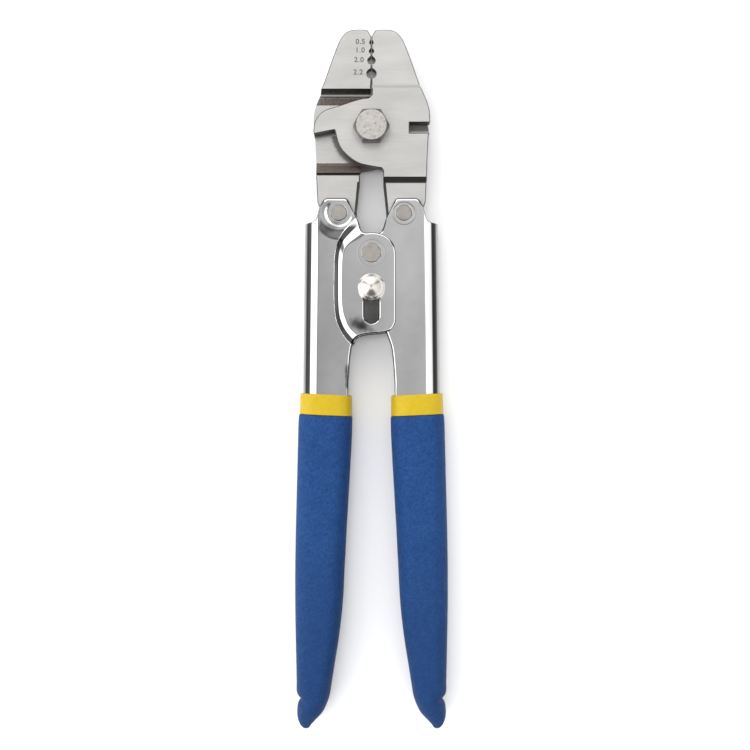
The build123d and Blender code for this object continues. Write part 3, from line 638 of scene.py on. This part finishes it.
def handle(name, path, left, mat):
    e57 = float(bend_start(57.3))
    front = [tuple(p) for p in path]
    # shoulder, in pattern coordinates
    front += [(e57 + 3.2, 57.50), (e57 + QUARTER, 57.3)]

    def mirror_s(p):
        return (2 * float(bend_start(p[1])) + 2 * QUARTER + WEB - p[0], p[1])

    loop = front + [mirror_s(p) for p in reversed(front)]
    if area2(loop) < 0:
        loop = loop[::-1]
    loop = round_corners(loop, lambda p: 1.9 if p[1] > 60 else 0.9)

    def step(p):
        return 0.7 if p[1] > -6 else 3.0

    loop = subdivide(loop, step)
    holes = []

    def circle(c, r, n):
        return [(c[0] + r * math.cos(-2 * math.pi * k / n), c[1] + r * math.sin(-2 * math.pi * k / n))
                for k in range(n)]

    gap_h = 0.02 if left else 0.06
    for rear in (False, True):
        for c, r, n in ((ARM_PIN, ARM_PIN_R + 0.05, 56), (HANDLE_PIN, HANDLE_PIN_R + gap_h, 64)):
            h = circle(c, r, n)
            holes.append(([mirror_s(p) for p in h][::-1] if rear else h, 0.22))
    if left:
        lo, hi, r = LATCH_Y - LATCH_TRAVEL, LATCH_Y, 2.7
        h = ([(r * math.cos(a), hi + r * math.sin(a)) for a in np.linspace(0, math.pi, 17)]
             + [(-r, y) for y in np.linspace(hi, lo, 12)[1:-1]]
             + [(r * math.cos(a), lo + r * math.sin(a)) for a in np.linspace(math.pi, 2 * math.pi, 17)]
             + [(r, y) for y in np.linspace(lo, hi, 12)[1:-1]])
        holes.append((h[::-1], 0.62))
    # how far each edge is rounded over
    la = np.array(loop)
    mid = float(bend_start(20.0)) + QUARTER + WEB / 2
    fold = np.where(la[:, 0] > mid, 2 * mid - la[:, 0], la[:, 0])
    over = np.full(len(la), 0.45)
    over += 0.75 * ease((la[:, 1] - 63.0) / 2.6)
    over += 0.30 * ease((12.0 - fold) / 3.0) * ease((la[:, 1] + 4.0) / 3.0) * (1 - ease((la[:, 1] - 56.0) / 3.0))
    for _ in range(3):
        over = (np.roll(over, 1) + over + np.roll(over, -1)) / 3
    rings = []
    for l, r in [(loop, over)] + holes:
        l = np.array(l)
        r = np.full(len(l), r) if np.isscalar(r) else r
        rings.append((l, offsets(l), r))
    pts, edges, owner = [], [], []
    for l, off, r in rings:
        base = len(pts)
        inner = l - off * r[:, None]
        pts += [tuple(p) for p in inner]
        n = len(l)
        edges += [(base + k, base + (k + 1) % n) for k in range(n)]
        owner.append((base, n))
    n_rim = len(pts)
    # interior points
    grid = []
    ys = np.concatenate([np.arange(-104.0, -6.0, 4.0), np.arange(-5.0, 66.2, 0.62)])
    bend_cols = [0.0] + [QUARTER * k / 12 for k in range(1, 13)] + [QUARTER + WEB / 2]
    for j, y in enumerate(ys):
        e = float(bend_start(y))
        tot = 2 * e + 2 * QUARTER + WEB
        if y < 56.2:
            for k in bend_cols:
                grid.append((e + k, y))
                if k < QUARTER + WEB / 2 - 1e-6:
                    grid.append((tot - e - k, y))
        dx = 4.0 if y < -5.5 else 0.62
        top = e if y < 56.2 else 21.5
        for x in np.arange(-8.6 + (0.31 if j % 2 else 0.0), top - 0.3, dx):
            grid.append((x, y))
            grid.append((tot - x, y))
    grid = np.array(grid)
    # rows along the joggle, and rings round the rivets, in place of the grid
    extra = []
    if left:
        band = np.zeros(len(grid), bool)
        for rear in (False, True):
            g2 = grid.copy()
            if rear:
                g2[:, 0] = np.array([mirror_s(p)[0] for p in grid])
            f_in, c_in = inside(foot_poly, g2), inside(crest_poly, g2)
            band |= f_in & ~c_in & (g2[:, 0] < 15)
            band |= ((dist_to(foot_line, g2) < 0.3) | (dist_to(crest_line, g2) < 0.3)) & (g2[:, 0] < 15)
        grid = grid[~band]

        def even(line, n):
            line = np.array(line)
            L = np.concatenate([[0], np.cumsum(np.linalg.norm(np.diff(line, axis=0), axis=1))])
            t = np.linspace(0, L[-1], n)
            return np.stack([np.interp(t, L, line[:, 0]), np.interp(t, L, line[:, 1])], 1)

        A, B = even(foot_line, 130), even(crest_line, 130)
        for u in (-0.03, 0.0, 0.025, 0.055, 0.10, 0.17, 0.26, 0.36, 0.47, 0.58, 0.70, 0.82, 0.92, 1.0, 1.06):
            row = A * (1 - u) + B * u
            for q in row:
                extra.append(tuple(q))
                extra.append(mirror_s(q))
    rr = ([(ARM_PIN, [3.4, 3.65, 3.9, 4.2, 4.5, 4.8, 5.1, 5.4, 5.8, 6.3]),
           (HANDLE_PIN, [4.0, 4.2, 4.45, 4.6, 4.75, 4.9, 5.05, 5.2, 5.4, 5.7])] if left else
          [(ARM_PIN, [3.4, 3.6, 3.75, 3.9, 4.0, 4.1, 4.2, 4.3, 4.45, 4.7])])
    for c, radii in rr:
        for rear in (False, True):
            gx = grid if not rear else np.array([mirror_s(p) for p in grid])
            grid = grid[np.hypot(gx[:, 0] - c[0], gx[:, 1] - c[1]) > radii[-1] + 0.25]
            for i, r in enumerate(radii):
                for k in range(72):
                    a = 2 * math.pi * (k + 0.5 * (i % 2)) / 72
                    q = (c[0] + r * math.cos(a), c[1] + r * math.sin(a))
                    extra.append(mirror_s(q) if rear else q)
    if extra:
        grid = np.concatenate([grid, np.array(extra)])
    cell, seen = 0.12, set()
    thin = []
    for q in grid[::-1]:
        key = (round(q[0] / cell), round(q[1] / cell))
        thin.append(key not in seen)
        seen.add(key)
    grid = grid[::-1][np.array(thin)]
    ok = inside(pts[:len(loop)], grid)
    for (base, n) in owner[1:]:
        ok &= ~inside(pts[base:base + n], grid)
    for (base, n) in owner:
        ok &= dist_to(pts[base:base + n], grid, True) > 0.24
    grid = grid[ok]
    allp = [Vector(p) for p in pts] + [Vector(p) for p in grid]
    V, _, F, orig_v, _, _ = delaunay_2d_cdt(allp, edges, [], 0, 1e-7)
    V = np.array([tuple(v) for v in V])
    tri = []
    for f in F:
        f = list(f)
        for k in range(1, len(f) - 1):
            tri.append((f[0], f[k], f[k + 1]))
    tri = np.array(tri)
    cen = V[tri].mean(1)
    keep = inside([pts[k] for k in range(len(loop))], cen)
    for (base, n) in owner[1:]:
        keep &= ~inside(pts[base:base + n], cen)
    tri = tri[keep]
    a = V[tri]
    ar = ((a[:, 1, 0] - a[:, 0, 0]) * (a[:, 2, 1] - a[:, 0, 1])
          - (a[:, 2, 0] - a[:, 0, 0]) * (a[:, 1, 1] - a[:, 0, 1]))
    tri = tri[np.abs(ar) > 1e-9]
    ar = ar[np.abs(ar) > 1e-9]
    tri[ar < 0] = tri[ar < 0][:, ::-1]
    where = {}
    for i, o in enumerate(orig_v):
        for k in o:
            where[k] = i
    nv = len(V)
    Po, No = roll(V, np.zeros(nv), left)
    Pi, Ni = roll(V, np.full(nv, SHEET), left)
    verts, norms = [Po, Pi], [No, -Ni]
    faces = [tuple(t) for t in tri] + [(t[2] + nv, t[1] + nv, t[0] + nv) for t in tri]
    cur = 2 * nv
    for (l, off, r), (base, n) in zip(rings, owner):
        prof = []
        for ph in (12, 24, 36, 48, 60, 75, 90):
            ph = math.radians(ph)
            prof.append((r * (1 - math.sin(ph)), r * (1 - math.cos(ph)), math.sin(ph), math.cos(ph)))
        # inner side comes back to the same inset as the outer side
        for ph in (90, 60, 30):
            ph = math.radians(ph)
            dd = r * (1 - math.sin(ph))
            prof.append((dd, SHEET - np.minimum(r, 0.35) * (1 - math.cos(ph)), math.sin(ph), -math.cos(ph)))
        rows = [[where[base + k] for k in range(n)]]
        for ins, dep, sn, cs in prof:
            P2 = l - off * ins[:, None]
            P, N = roll(P2, dep, left)
            Q, _ = roll(P2 + off * 0.02, dep, left)
            T = Q - P
            T /= np.maximum(np.linalg.norm(T, axis=1)[:, None], 1e-9)
            verts.append(P)
            norms.append(T * sn + N * cs)
            rows.append([cur + k for k in range(n)])
            cur += n
        rows.append([where[base + k] + nv for k in range(n)])
        for r0, r1 in zip(rows, rows[1:]):
            for k in range(n):
                k2 = (k + 1) % n
                faces.append((r0[k2], r0[k], r1[k], r1[k2]))
    verts, norms = np.concatenate(verts), np.concatenate(norms)
    norms /= np.maximum(np.linalg.norm(norms, axis=1)[:, None], 1e-9)
    if left:
        verts[:, 0] *= -1
        norms[:, 0] *= -1
        faces = [tuple(reversed(f)) for f in faces]
    ob = mesh_object(name, verts, faces, mat, norms)
    ob.data.materials.append(M_INNER)
    for f in ob.data.polygons:
        if len(tri) <= f.index < 2 * len(tri):
            f.material_index = 1
    return ob


lh = handle("left_handle_shell", left_path, True, M_CHROME)
rh = handle("right_handle_shell", right_path, False, M_CHROME)
put(lh, "left_handle_body", "handle_chrome", "left_handle")
put(rh, "right_handle_body", "handle_chrome", "right_handle")


# =====================================================================
# grips and collars: lofted sleeves with a hollow for the channel
# =====================================================================
def rr_radius(ang, w, h, r_out, r_in, power=None):
    """Distance from the centre to a rounded rectangle's wall at each angle."""
    c, s = np.cos(ang), np.sin(ang)
    r = np.where(c > 0, r_out, r_in)
    hx, hy = w / 2, h / 2
    r = np.minimum(r, min(hx, hy))
    t = np.minimum(hx / np.maximum(np.abs(c), 1e-9), hy / np.maximum(np.abs(s), 1e-9))
    x, y = np.abs(c) * t, np.abs(s) * t
    cx, cy = hx - r, hy - r
    corner = (x > cx) & (y > cy)
    # ray against the corner circle
    ac, asn = np.abs(c), np.abs(s)
    bb = ac * cx + asn * cy
    cc = cx * cx + cy * cy - r * r
    disc = np.maximum(bb * bb - cc, 0)
    tc = bb + np.sqrt(disc)
    return np.where(corner, tc, t)


def super_radius(ang, w, h, p):
    c, s = np.abs(np.cos(ang)), np.abs(np.sin(ang))
    return 1.0 / ((c / (w / 2)) ** p + (s / (h / 2)) ** p) ** (1 / p)


SECTIONS = np.array([
    (-12.55, 7.05, 26.50, 8.85), (-14.5, 7.05, 26.65, 9.0), (-24.1, 7.40, 26.95, 9.0),
    (-38.4, 8.20, 27.30, 9.0), (-52.0, 9.00, 27.65, 9.0), (-66.4, 9.75, 27.90, 9.0),
    (-83.1, 10.70, 27.91, 9.0), (-95.0, 12.10, 27.70, 9.0), (-104.5, 13.60, 27.50, 9.0),
    (-111.5, 14.70, 27.35, 9.0), (-115.4, 15.35, 27.30, 8.7), (-118.8, 16.55, 27.15, 8.0),
    (-121.4, 17.90, 27.30, 7.0), (-123.0, 19.30, 27.20, 6.0), (-124.6, 20.80, 26.80, 4.9),
    (-125.8, 21.85, 26.30, 3.9), (-126.7, 22.45, 25.70, 2.9), (-127.2, 22.80, 25.20, 2.1),
    (-127.5, 23.20, 24.60, 1.4)])


def section_at(y):
    """Hermite through SECTIONS at y, as (inner X, outer X, half thickness)."""
    t = SECTIONS[::-1]
    Y = t[:, 0]
    out = []
    for j in (1, 2, 3):
        m = np.gradient(t[:, j], Y)
        i = min(max(int(np.searchsorted(Y, y)) - 1, 0), len(Y) - 2)
        h = Y[i + 1] - Y[i]
        q = (y - Y[i]) / h
        out.append((2 * q ** 3 - 3 * q * q + 1) * t[i, j] + (q ** 3 - 2 * q * q + q) * h * m[i]
                   + (-2 * q ** 3 + 3 * q * q) * t[i + 1, j] + (q ** 3 - q * q) * h * m[i + 1])
    return out


N_AROUND = 72
ANG = np.linspace(0, 2 * math.pi, N_AROUND, endpoint=False)


def lean(y):
    return math.tan(math.radians(2.6)) * min(1.0, max(0.0, (y + 104.5) / 15.0))


def hollow_ring(y, grow=0.03):
    xi = float(np.interp(y, [-106.0, -66.0, -14.0, -5.4, 0.0], [15.6, 11.6, 9.2, 8.6, 8.4])) - grow
    xo = float(np.interp(y, web_y, web_x)) + grow
    w, h = xo - xi, 2 * (CHEEK_OUT + grow)
    r = rr_radius(ANG, w, h, BEND_R, 0.3)
    x = (xi + xo) / 2 + np.cos(ANG) * r
    return np.stack([x, y + (x - 16.75) * lean(y), Z + np.sin(ANG) * r], 1)


def sleeve(name, stations, hollow_to, mat, tip_point=None, sgn=1):
    """stations: (y, inner X, outer X, half thickness, power, inset)."""
    rings = []
    for y, xi, xo, hz, p, ins in stations:
        w, h = xo - xi - 2 * ins, 2 * (hz - ins)
        r = super_radius(ANG, w, h, p)
        x = (xi + xo) / 2 + np.cos(ANG) * r
        z = Z + np.sin(ANG) * r
        rings.append(np.stack([x, y + (x - 16.75) * lean(y), z], 1))
    verts = list(rings)
    faces = []

    def join(a, b, flip=False):
        for k in range(N_AROUND):
            k2 = (k + 1) % N_AROUND
            q = (a + k, a + k2, b + k2, b + k)
            faces.append(q[::-1] if flip else q)

    base = [i * N_AROUND for i in range(len(rings))]
    for a, b in zip(base, base[1:]):
        join(a, b)
    cur = len(rings) * N_AROUND
    if tip_point is not None:
        verts.append(np.array([tip_point]))
        for k in range(N_AROUND):
            faces.append((base[-1] + k, base[-1] + (k + 1) % N_AROUND, cur))
        cur += 1
    # hollow, from the mouth inwards
    inner = []
    y0 = stations[0][0]
    for y in np.linspace(y0, hollow_to, 2 if hollow_to > -20 else 14):
        verts.append(hollow_ring(y))
        inner.append(cur)
        cur += N_AROUND
    join(inner[0], base[0])
    for a, b in zip(inner, inner[1:]):
        join(b, a)
    if tip_point is None:
        join(base[-1], inner[-1])
    else:
        c = verts[-1].mean(0)
        verts.append(np.array([c]))
        for k in range(N_AROUND):
            faces.append((inner[-1] + (k + 1) % N_AROUND, inner[-1] + k, cur))
        cur += 1
    V = np.concatenate([np.asarray(v).reshape(-1, 3) for v in verts])
    if sgn < 0:
        V[:, 0] *= -1
    else:
        faces = [tuple(reversed(f)) for f in faces]
    return mesh_object(name, V, faces, mat)


def grip_stations():
    out = []
    mouth, r = -12.55, 0.8
    for ph in (0, 18, 36, 54, 72, 90):
        a = math.radians(ph)
        y = mouth - r * (1 - math.cos(a))
        xi, xo, hz = section_at(min(y, -12.55))
        out.append((y, xi, xo, hz, 3.1, r * (1 - math.sin(a))))
    ys = list(np.arange(-14.1, -112.0, -1.5)) + list(np.arange(-112.4, -124.0, -0.4)) + list(
        np.arange(-124.1, -127.44, -0.18))
    for y in ys:
        xi, xo, hz = section_at(y)
        d = y + 116.4
        dent = 1.7 * math.exp(-(d / (1.6 if d > 0 else 1.35)) ** 2)
        swell = 0.12 * math.exp(-((y + 112.6) / 1.6) ** 2)
        p = 3.1 if y > -108 else 3.1 - (3.1 - 2.3) * min(1, (-108 - y) / 12)
        out.append((y, xi, xo - dent + swell, min(hz, 9.0), p, 0.0))
    return out


GS = grip_stations()
for sgn, side in ((1, "right"), (-1, "left")):
    g = sleeve(f"{side}_grip_sleeve", GS, -106.5, M_BLUE, (23.90, -127.5, Z), sgn)
    put(g, f"{side}_handle_body", "grip_blue", f"{side}_grip")
    st = []
    top, bot = -5.05, -12.5
    for ph in (0, 22, 45, 67, 90):
        a = math.radians(ph)
        st.append((top - 0.55 * (1 - math.cos(a)), 7.22, 26.08, 8.6, 3.1, 0.55 * (1 - math.sin(a))))
    for y in np.linspace(-6.1, -12.2, 9):
        t = (y + 5.1) / -7.4
        st.append((y, 7.22 - 0.07 * t, 26.08 + 0.2 * t, 8.6, 3.1, 0.0))
    st.append((bot, 7.15, 26.30, 8.6, 3.1, 0.0))
    c = sleeve(f"{side}_collar_sleeve", st, bot, M_YELLOW, None, sgn)
    put(c, f"{side}_handle_body", "grip_yellow", f"{side}_grip_collar")


# =====================================================================
# turned pieces
# =====================================================================
def lathe(name, centre, profile, mat, n=96, wave=None):
    """Closed profile of (radius, z); points at radius 0 become poles."""
    verts, rows = [], []
    for r, z in profile:
        if r < 1e-6:
            rows.append([len(verts)])
            verts.append((centre[0], centre[1], z))
        else:
            rows.append(list(range(len(verts), len(verts) + n)))
            for k in range(n):
                a = 2 * math.pi * k / n
                dz = wave(a, r) if wave else 0.0
                verts.append((centre[0] + r * math.cos(a), centre[1] + r * math.sin(a), z + dz))
    faces = []
    closed = profile[0][0] > 1e-6
    pairs = list(zip(rows, rows[1:])) + ([(rows[-1], rows[0])] if closed else [])
    for a, b in pairs:
        for k in range(n):
            k2 = (k + 1) % n
            if len(a) == 1 and len(b) == 1:
                continue
            if len(a) == 1:
                faces.append((a[0], b[k2], b[k]))
            elif len(b) == 1:
                faces.append((a[k], a[k2], b[0]))
            else:
                faces.append((a[k], a[k2], b[k2], b[k]))
    return mesh_object(name, verts, faces, mat)


TOP = Z + 8.25
ball_r = 4.8
ball_z = TOP + 1.35 + ball_r - 0.75
seat = TOP + 0.85
prof = [(0, 12.72), (2.2, 12.72), (2.6, 13.1)]
prof += [(2.6, z) for z in (14.2, 15.2, 17.0)] + [(2.6, seat - 0.02)]
r_seat = math.sqrt(max(ball_r ** 2 - (ball_z - seat) ** 2, 0.1))
prof += [(r_seat - 0.25, seat)]
for k in range(1, 40):
    a0_ = math.asin((seat + 0.12 - ball_z) / ball_r)
    a = a0_ + (math.pi / 2 - a0_) * k / 40
    prof.append((ball_r * math.cos(a), ball_z + ball_r * math.sin(a)))
prof.append((0, ball_z + ball_r))
knob = lathe("latch_ball", (0, LATCH_Y), prof, M_KNOB, 96)
put(knob, "latch_body", "knob_chrome", "latch_knob")

t0, t1 = TOP + 0.30, TOP + 0.58
wv = lambda a, r: 0.20 * math.sin(3 * a)
ww = lathe("latch_wave_ring", (0, LATCH_Y),
           [(2.68, t0), (3.95, t0), (4.0, t0 + 0.06), (4.0, t1 - 0.06), (3.95, t1), (2.68, t1)], M_BUSH, 72, wv)
put(ww, "latch_body", "spring_steel", "latch_wave_washer")

UNDER = Z + 6.05
w1 = lathe("latch_under_ring", (0, LATCH_Y),
           [(2.64, UNDER - 0.82), (3.62, UNDER - 0.82), (3.74, UNDER - 0.7), (3.74, UNDER - 0.30),
            (3.62, UNDER - 0.16), (2.64, UNDER - 0.16)], M_NUT, 72)
put(w1, "latch_body", "zinc", "latch_washer")
w2 = lathe("latch_peened_ring", (0, LATCH_Y),
           [(2.64, UNDER - 1.98), (3.2, UNDER - 1.98), (3.45, UNDER - 1.5), (3.48, UNDER - 0.9), (2.64, UNDER - 0.88)],
           M_NUT, 72)
put(w2, "latch_body", "zinc", "latch_retainer")


# hex bolt with a turned top (the hex nut and the split washer between are the CAD pieces)
def hex_piece(name, centre, af, z0, z1, turned, slope, both, mat, bore=None, shank=None, n=144):
    """Hexagon whose corners are turned off above radius `turned`."""
    ang = np.linspace(0, 2 * math.pi, n, endpoint=False)
    R = (af / 2) / np.cos(ang % (math.pi / 3) - math.pi / 6)
    drop = np.maximum(R - turned, 0) * math.tan(math.radians(slope))
    rt = np.minimum(R, turned)
    rows = []

    def row(r, z):
        rows.append(np.stack([centre[0] + r * np.cos(ang), centre[1] + r * np.sin(ang), z + 0 * ang], 1))

    if bore:
        row(np.full(n, bore), z1)
        row(np.full(n, bore + 0.35), z1)
    for t in ((0.3, 0.6, 0.9) if not bore else (0.75, 0.92)):
        row(rt * t, z1)
    row(rt - 0.12, z1)
    row(rt - 0.03, z1 - 0.03)
    row(rt, z1 - 0.08 - 0 * drop)
    row(np.maximum(R - 0.1, rt), z1 - 0.09 - np.maximum(R - 0.1 - turned, 0) * math.tan(math.radians(slope)))
    row(R, z1 - drop - 0.16)
    lo_drop = drop + 0.12 if both else np.full(n, 0.06)
    row(R, z0 + lo_drop)
    if both:
        row(rt - 0.05, z0)
    else:
        row(R - 0.08, z0)
    if bore:
        row(np.full(n, bore), z0)
    if shank:
        r, zs = shank
        for rr_, zz in ((r, z0), (r, zs + 0.5), (r - 0.1, zs + 0.25), (r - 0.5, zs)):
            row(np.full(n, rr_), zz)
    V = np.concatenate(rows)
    faces = []
    m = len(rows)
    pairs = [(i, i + 1) for i in range(m - 1)] + ([(m - 1, 0)] if bore else [])
    for a, b in pairs:
        for q in range(n):
            q2 = (q + 1) % n
            faces.append((a * n + q, b * n + q, b * n + q2, a * n + q2))
    if not bore:
        V = np.concatenate([V, [[centre[0], centre[1], z1]], [[centre[0], centre[1], rows[-1][0, 2]]]])
        for q in range(n):
            q2 = (q + 1) % n
            faces.append((len(V) - 2, q, q2))
            faces.append((len(V) - 1, (m - 1) * n + q2, (m - 1) * n + q))
    ob = mesh_object(name, V, faces, mat)
    sharp(ob, 24)
    return ob


def sharp(ob, angle):
    """Flat shading across edges folded more than angle degrees."""
    me = ob.data
    n = [f.normal.copy() for f in me.polygons]
    by = {}
    for f in me.polygons:
        for e in f.edge_keys:
            by.setdefault(e, []).append(f.index)
    lim = math.cos(math.radians(angle))
    att = me.attributes.new("sharp_edge", "BOOLEAN", "EDGE")
    for e in me.edges:
        fs = by.get(tuple(sorted(e.vertices)), [])
        if len(fs) == 2 and n[fs[0]].dot(n[fs[1]]) < lim:
            att.data[e.index].value = True


PIVOT = (0.0, 92.0)
bolt = hex_piece("bolt_hex", PIVOT, 11.4, Z + 4.91, Z + 9.9, 5.45, 32, False, M_ZINC, shank=(3.99, 0.16))
put(bolt, "right_jaw_body", "zinc", "pivot_bolt")


# return spring: wound wire, a leg in each channel
def tube(name, path, r, mat, n=14):
    P = np.array(path, float)
    T = np.gradient(P, axis=0)
    T /= np.linalg.norm(T, axis=1)[:, None]
    up = np.array([0, 0, 1.0])
    U = up - T[0] * (up @ T[0])
    U /= np.linalg.norm(U)
    verts, faces = [], []
    for i in range(len(P)):
        U = U - T[i] * (U @ T[i])
        U /= np.linalg.norm(U)
        W = np.cross(T[i], U)
        for k in range(n):
            a = 2 * math.pi * k / n
            verts.append(P[i] + (U * math.cos(a) + W * math.sin(a)) * r)
    for i in range(len(P) - 1):
        for k in range(n):
            k2 = (k + 1) % n
            faces.append((i * n + k, i * n + k2, (i + 1) * n + k2, (i + 1) * n + k))
    for i, flip in ((0, True), (len(P) - 1, False)):
        c = len(verts)
        verts.append(P[i])
        for k in range(n):
            k2 = (k + 1) % n
            f = (i * n + k, i * n + k2, c)
            faces.append(f[::-1] if flip else f)
    return mesh_object(name, verts, faces, mat)


cr, zb, zt = 5.6, Z - 2.25, Z + 2.25
path = []
# left leg, from its end in the channel to the coil
for t in np.linspace(0, 1, 16)[:-1]:
    path.append(((1 - t) * -20.4 + t * -9.8, (1 - t) * 24.2 + t * 36.0, zb))
path += [(-9.8 + (-5.6 + 9.8) * t * (1.25 - 0.25 * t), 36.0 + (46.1 - 36.0) * t ** 0.9, zb)
         for t in np.linspace(0, 1, 8)[:-1]]
for k in range(0, 3 * 48 + 25):
    a = math.pi - 2 * math.pi * k / 48
    path.append((cr * math.cos(a), 46.1 + cr * math.sin(a), zb + (zt - zb) * k / (3 * 48 + 24)))
path += [(5.6 + (9.8 - 5.6) * (1 - (1 - t)) * (0.75 + 0.25 * t), 46.1 - (46.1 - 36.0) * t ** 1.1, zt)
         for t in np.linspace(0, 1, 8)[1:]]
for t in np.linspace(0, 1, 16)[1:]:
    path.append((9.8 + (20.4 - 9.8) * t, 36.0 + (24.2 - 36.0) * t, zt))
spring = tube("return_spring_wire", path, 0.76, M_SPRING)
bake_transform(spring)
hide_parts("return_spring")

# =====================================================================
# carried-over CAD pieces: materials
# =====================================================================
nodes = frame["nodes"]


def finish_cad(node, mat, bevel=0.0):
    o = nodes[node]
    o.data.materials.clear()
    o.data.materials.append(mat)
    return o


finish_cad("left_jaw", M_JAW)
finish_cad("right_jaw", M_JAW)
finish_cad("pivot_nut", M_NUT)
finish_cad("pivot_lock_washer", M_NUT)
finish_cad("left_jaw_pin", mat_rivet("rivet_left", (-11.8, 60.8)))
finish_cad("right_jaw_pin", mat_rivet("rivet_right", (11.8, 60.8)))
finish_cad("handle_pin", mat_rivet("rivet_centre", (0.0, 46.1)))
finish_cad("spacer_bush", M_BUSH)


# etched sizes beside the nests: plain numbers
def etched(name, text, x_right, y_mid, size, body):
    cu = D.curves.new(name, "FONT")
    cu.body = text
    cu.size = size * MM
    cu.align_x = "RIGHT"
    cu.align_y = "CENTER"
    cu.extrude = 0.000012
    cu.offset = 0.00004
    cu.space_character = 1.12
    cu.resolution_u = 4
    tmp = D.objects.new(name + "_c", cu)
    scene.collection.objects.link(tmp)
    bpy.context.view_layer.update()
    me = D.meshes.new_from_object(tmp.evaluated_get(bpy.context.evaluated_depsgraph_get()))
    D.objects.remove(tmp)
    me.name = name
    ob = D.objects.new(name, me)
    me.transform(Matrix.Translation(
        (x_right * MM, y_mid * MM, (Z + 5.2 + 0.006) * MM)))
    me.materials.clear()
    me.materials.append(M_MARK)
    scene.collection.objects.link(ob)
    put(ob, body, "jaw_steel")
    return ob


for i, (txt, y, x) in enumerate((("0.5", 123.0, -2.3), ("1.0", 119.9, -2.4), ("2.0", 116.4, -2.8),
                                 ("2.2", 111.9, -3.1))):
    etched(f"size_mark_{i + 1}", txt, x, y, 2.6, "left_jaw_body")

# =====================================================================
# stage, light, camera
# =====================================================================
fl = D.meshes.new("floor")
S = 6.0
fl.from_pydata([(-S, -S, 0), (S, -S, 0), (S, S, 0), (-S, S, 0)], [], [(0, 1, 2, 3)])
floor = D.objects.new("floor", fl)
floor.location = (0, 0, -0.00004)
scene.collection.objects.link(floor)
mf, k, b, o = material("pale_floor")
k.put(b.inputs["Base Color"], k.mix(k.noise(o, 3.0, 2.0), (0.90, 0.90, 0.905), (0.92, 0.92, 0.925)))
k.put(b.inputs["Roughness"], 0.9)
k.put(b.inputs["Specular IOR Level"], 0.1)
fl.materials.append(mf)

world = D.worlds.new("studio")
scene.world = world
world.use_nodes = True
k = Nodes(world.node_tree)
out = k.n("ShaderNodeOutputWorld")
bg = k.n("ShaderNodeBackground")
k.t.links.new(bg.outputs[0], out.inputs[0])
g = k.n("ShaderNodeTexCoord").outputs["Generated"]
sp = k.n("ShaderNodeSeparateXYZ", None, **{"0": g})
# bands by angle from straight up: the dim room over the camera, then soft
# light down to the horizon
height_z = sp.outputs[2]
zen = k.ramp(height_z, [(0.0, 0.92), (0.50, 1.0), (0.966, 1.0), (0.9775, 0.42), (0.985, 0.285), (1.0, 0.270)])
az = k.math("ARCTAN2", sp.outputs[1], sp.outputs[0])


def sector(centre, half, soft):
    """1 inside the sector round centre (degrees), 0 outside."""
    d = k.math("ABSOLUTE", k.math("WRAP", k.math("SUBTRACT", az, math.radians(centre)), math.pi, -math.pi))
    return k.remap(d, math.radians(half - soft), math.radians(half + soft), 1.0, 0.0, True)


off_top = k.remap(height_z, 0.88, 0.95, 1.0, 0.0, True)
ring_z = k.math("MULTIPLY", k.remap(height_z, 0.925, 0.945, 0.0, 1.0, True), k.remap(height_z, 0.978, 0.987, 1.0, 0.0, True))
gaps = k.math("MULTIPLY", off_top, k.math("MAXIMUM", sector(37, 9, 6), sector(150, 9, 6)))
foot_end = k.math("MULTIPLY", off_top, sector(268, 36, 12))
ring_end = k.math("MULTIPLY", ring_z, sector(100, 52, 12))
dim = k.math("MAXIMUM", k.math("MULTIPLY", gaps, 0.92), k.math("MULTIPLY", foot_end, 0.93))
dim = k.math("MAXIMUM", dim, k.math("MULTIPLY", ring_end, 0.88))
level = k.math("MULTIPLY", k.n("ShaderNodeRGBToBW", None, Color=zen).outputs[0],
               k.remap(dim, 0.0, 1.0, 1.0, 0.03))
near = k.remap(height_z, 0.95, 0.985, 0.0, 1.0, True)
slant = k.math("ADD", k.math("MULTIPLY", sp.outputs[0], 2.0), k.math("MULTIPLY", sp.outputs[1], 0.9))
slant = k.math("ADD", k.math("MULTIPLY", slant, near), k.math(
    "MULTIPLY", k.math("MULTIPLY", sp.outputs[0], -0.45), k.math("SUBTRACT", 1.0, near)))
level = k.math("MULTIPLY", level, k.math("MINIMUM", k.math("MAXIMUM", k.math("ADD", 1.0, slant), 0.55), 1.35))
k.put(bg.inputs["Color"], k.n("ShaderNodeCombineXYZ", None, X=level, Y=level, Z=level))
k.put(bg.inputs["Strength"], 2.0)


def area(name, loc, target, size, power, colour=(1, 1, 1)):
    li = D.lights.new(name, "AREA")
    li.shape = "RECTANGLE"
    li.size, li.size_y = size
    li.energy = power
    li.color = colour
    ob = D.objects.new(name, li)
    ob.location = loc
    ob.rotation_mode = "QUATERNION"
    ob.rotation_quaternion = (Vector(target) - Vector(loc)).to_track_quat("-Z", "Y")
    ob.visible_camera = False
    ob.visible_glossy = False
    scene.collection.objects.link(ob)
    return ob


area("key", (-0.10, 0.08, 1.2), (0, 0, 0), (0.35, 0.35), 3.2)

cam = D.cameras.new("camera")
cam.sensor_width = 36.0
DIST = 0.42
REF_Z = 0.0116
PX = 0.3653 * MM
cam.lens = 36.0 * (DIST - 0.0) / (750 * PX)
cam.clip_start, cam.clip_end = 0.01, 50
co = D.objects.new("camera", cam)
co.location = ((375 - 371.5) * PX, (378.3 - 375) * PX + 0.8 * MM, DIST + REF_Z)
co.rotation_euler = (0, 0, 0)
scene.collection.objects.link(co)
scene.camera = co
scene.view_settings.view_transform = "Standard"
scene.view_settings.look = "None"
scene.view_settings.exposure = 0.0

bpy.context.view_layer.update()
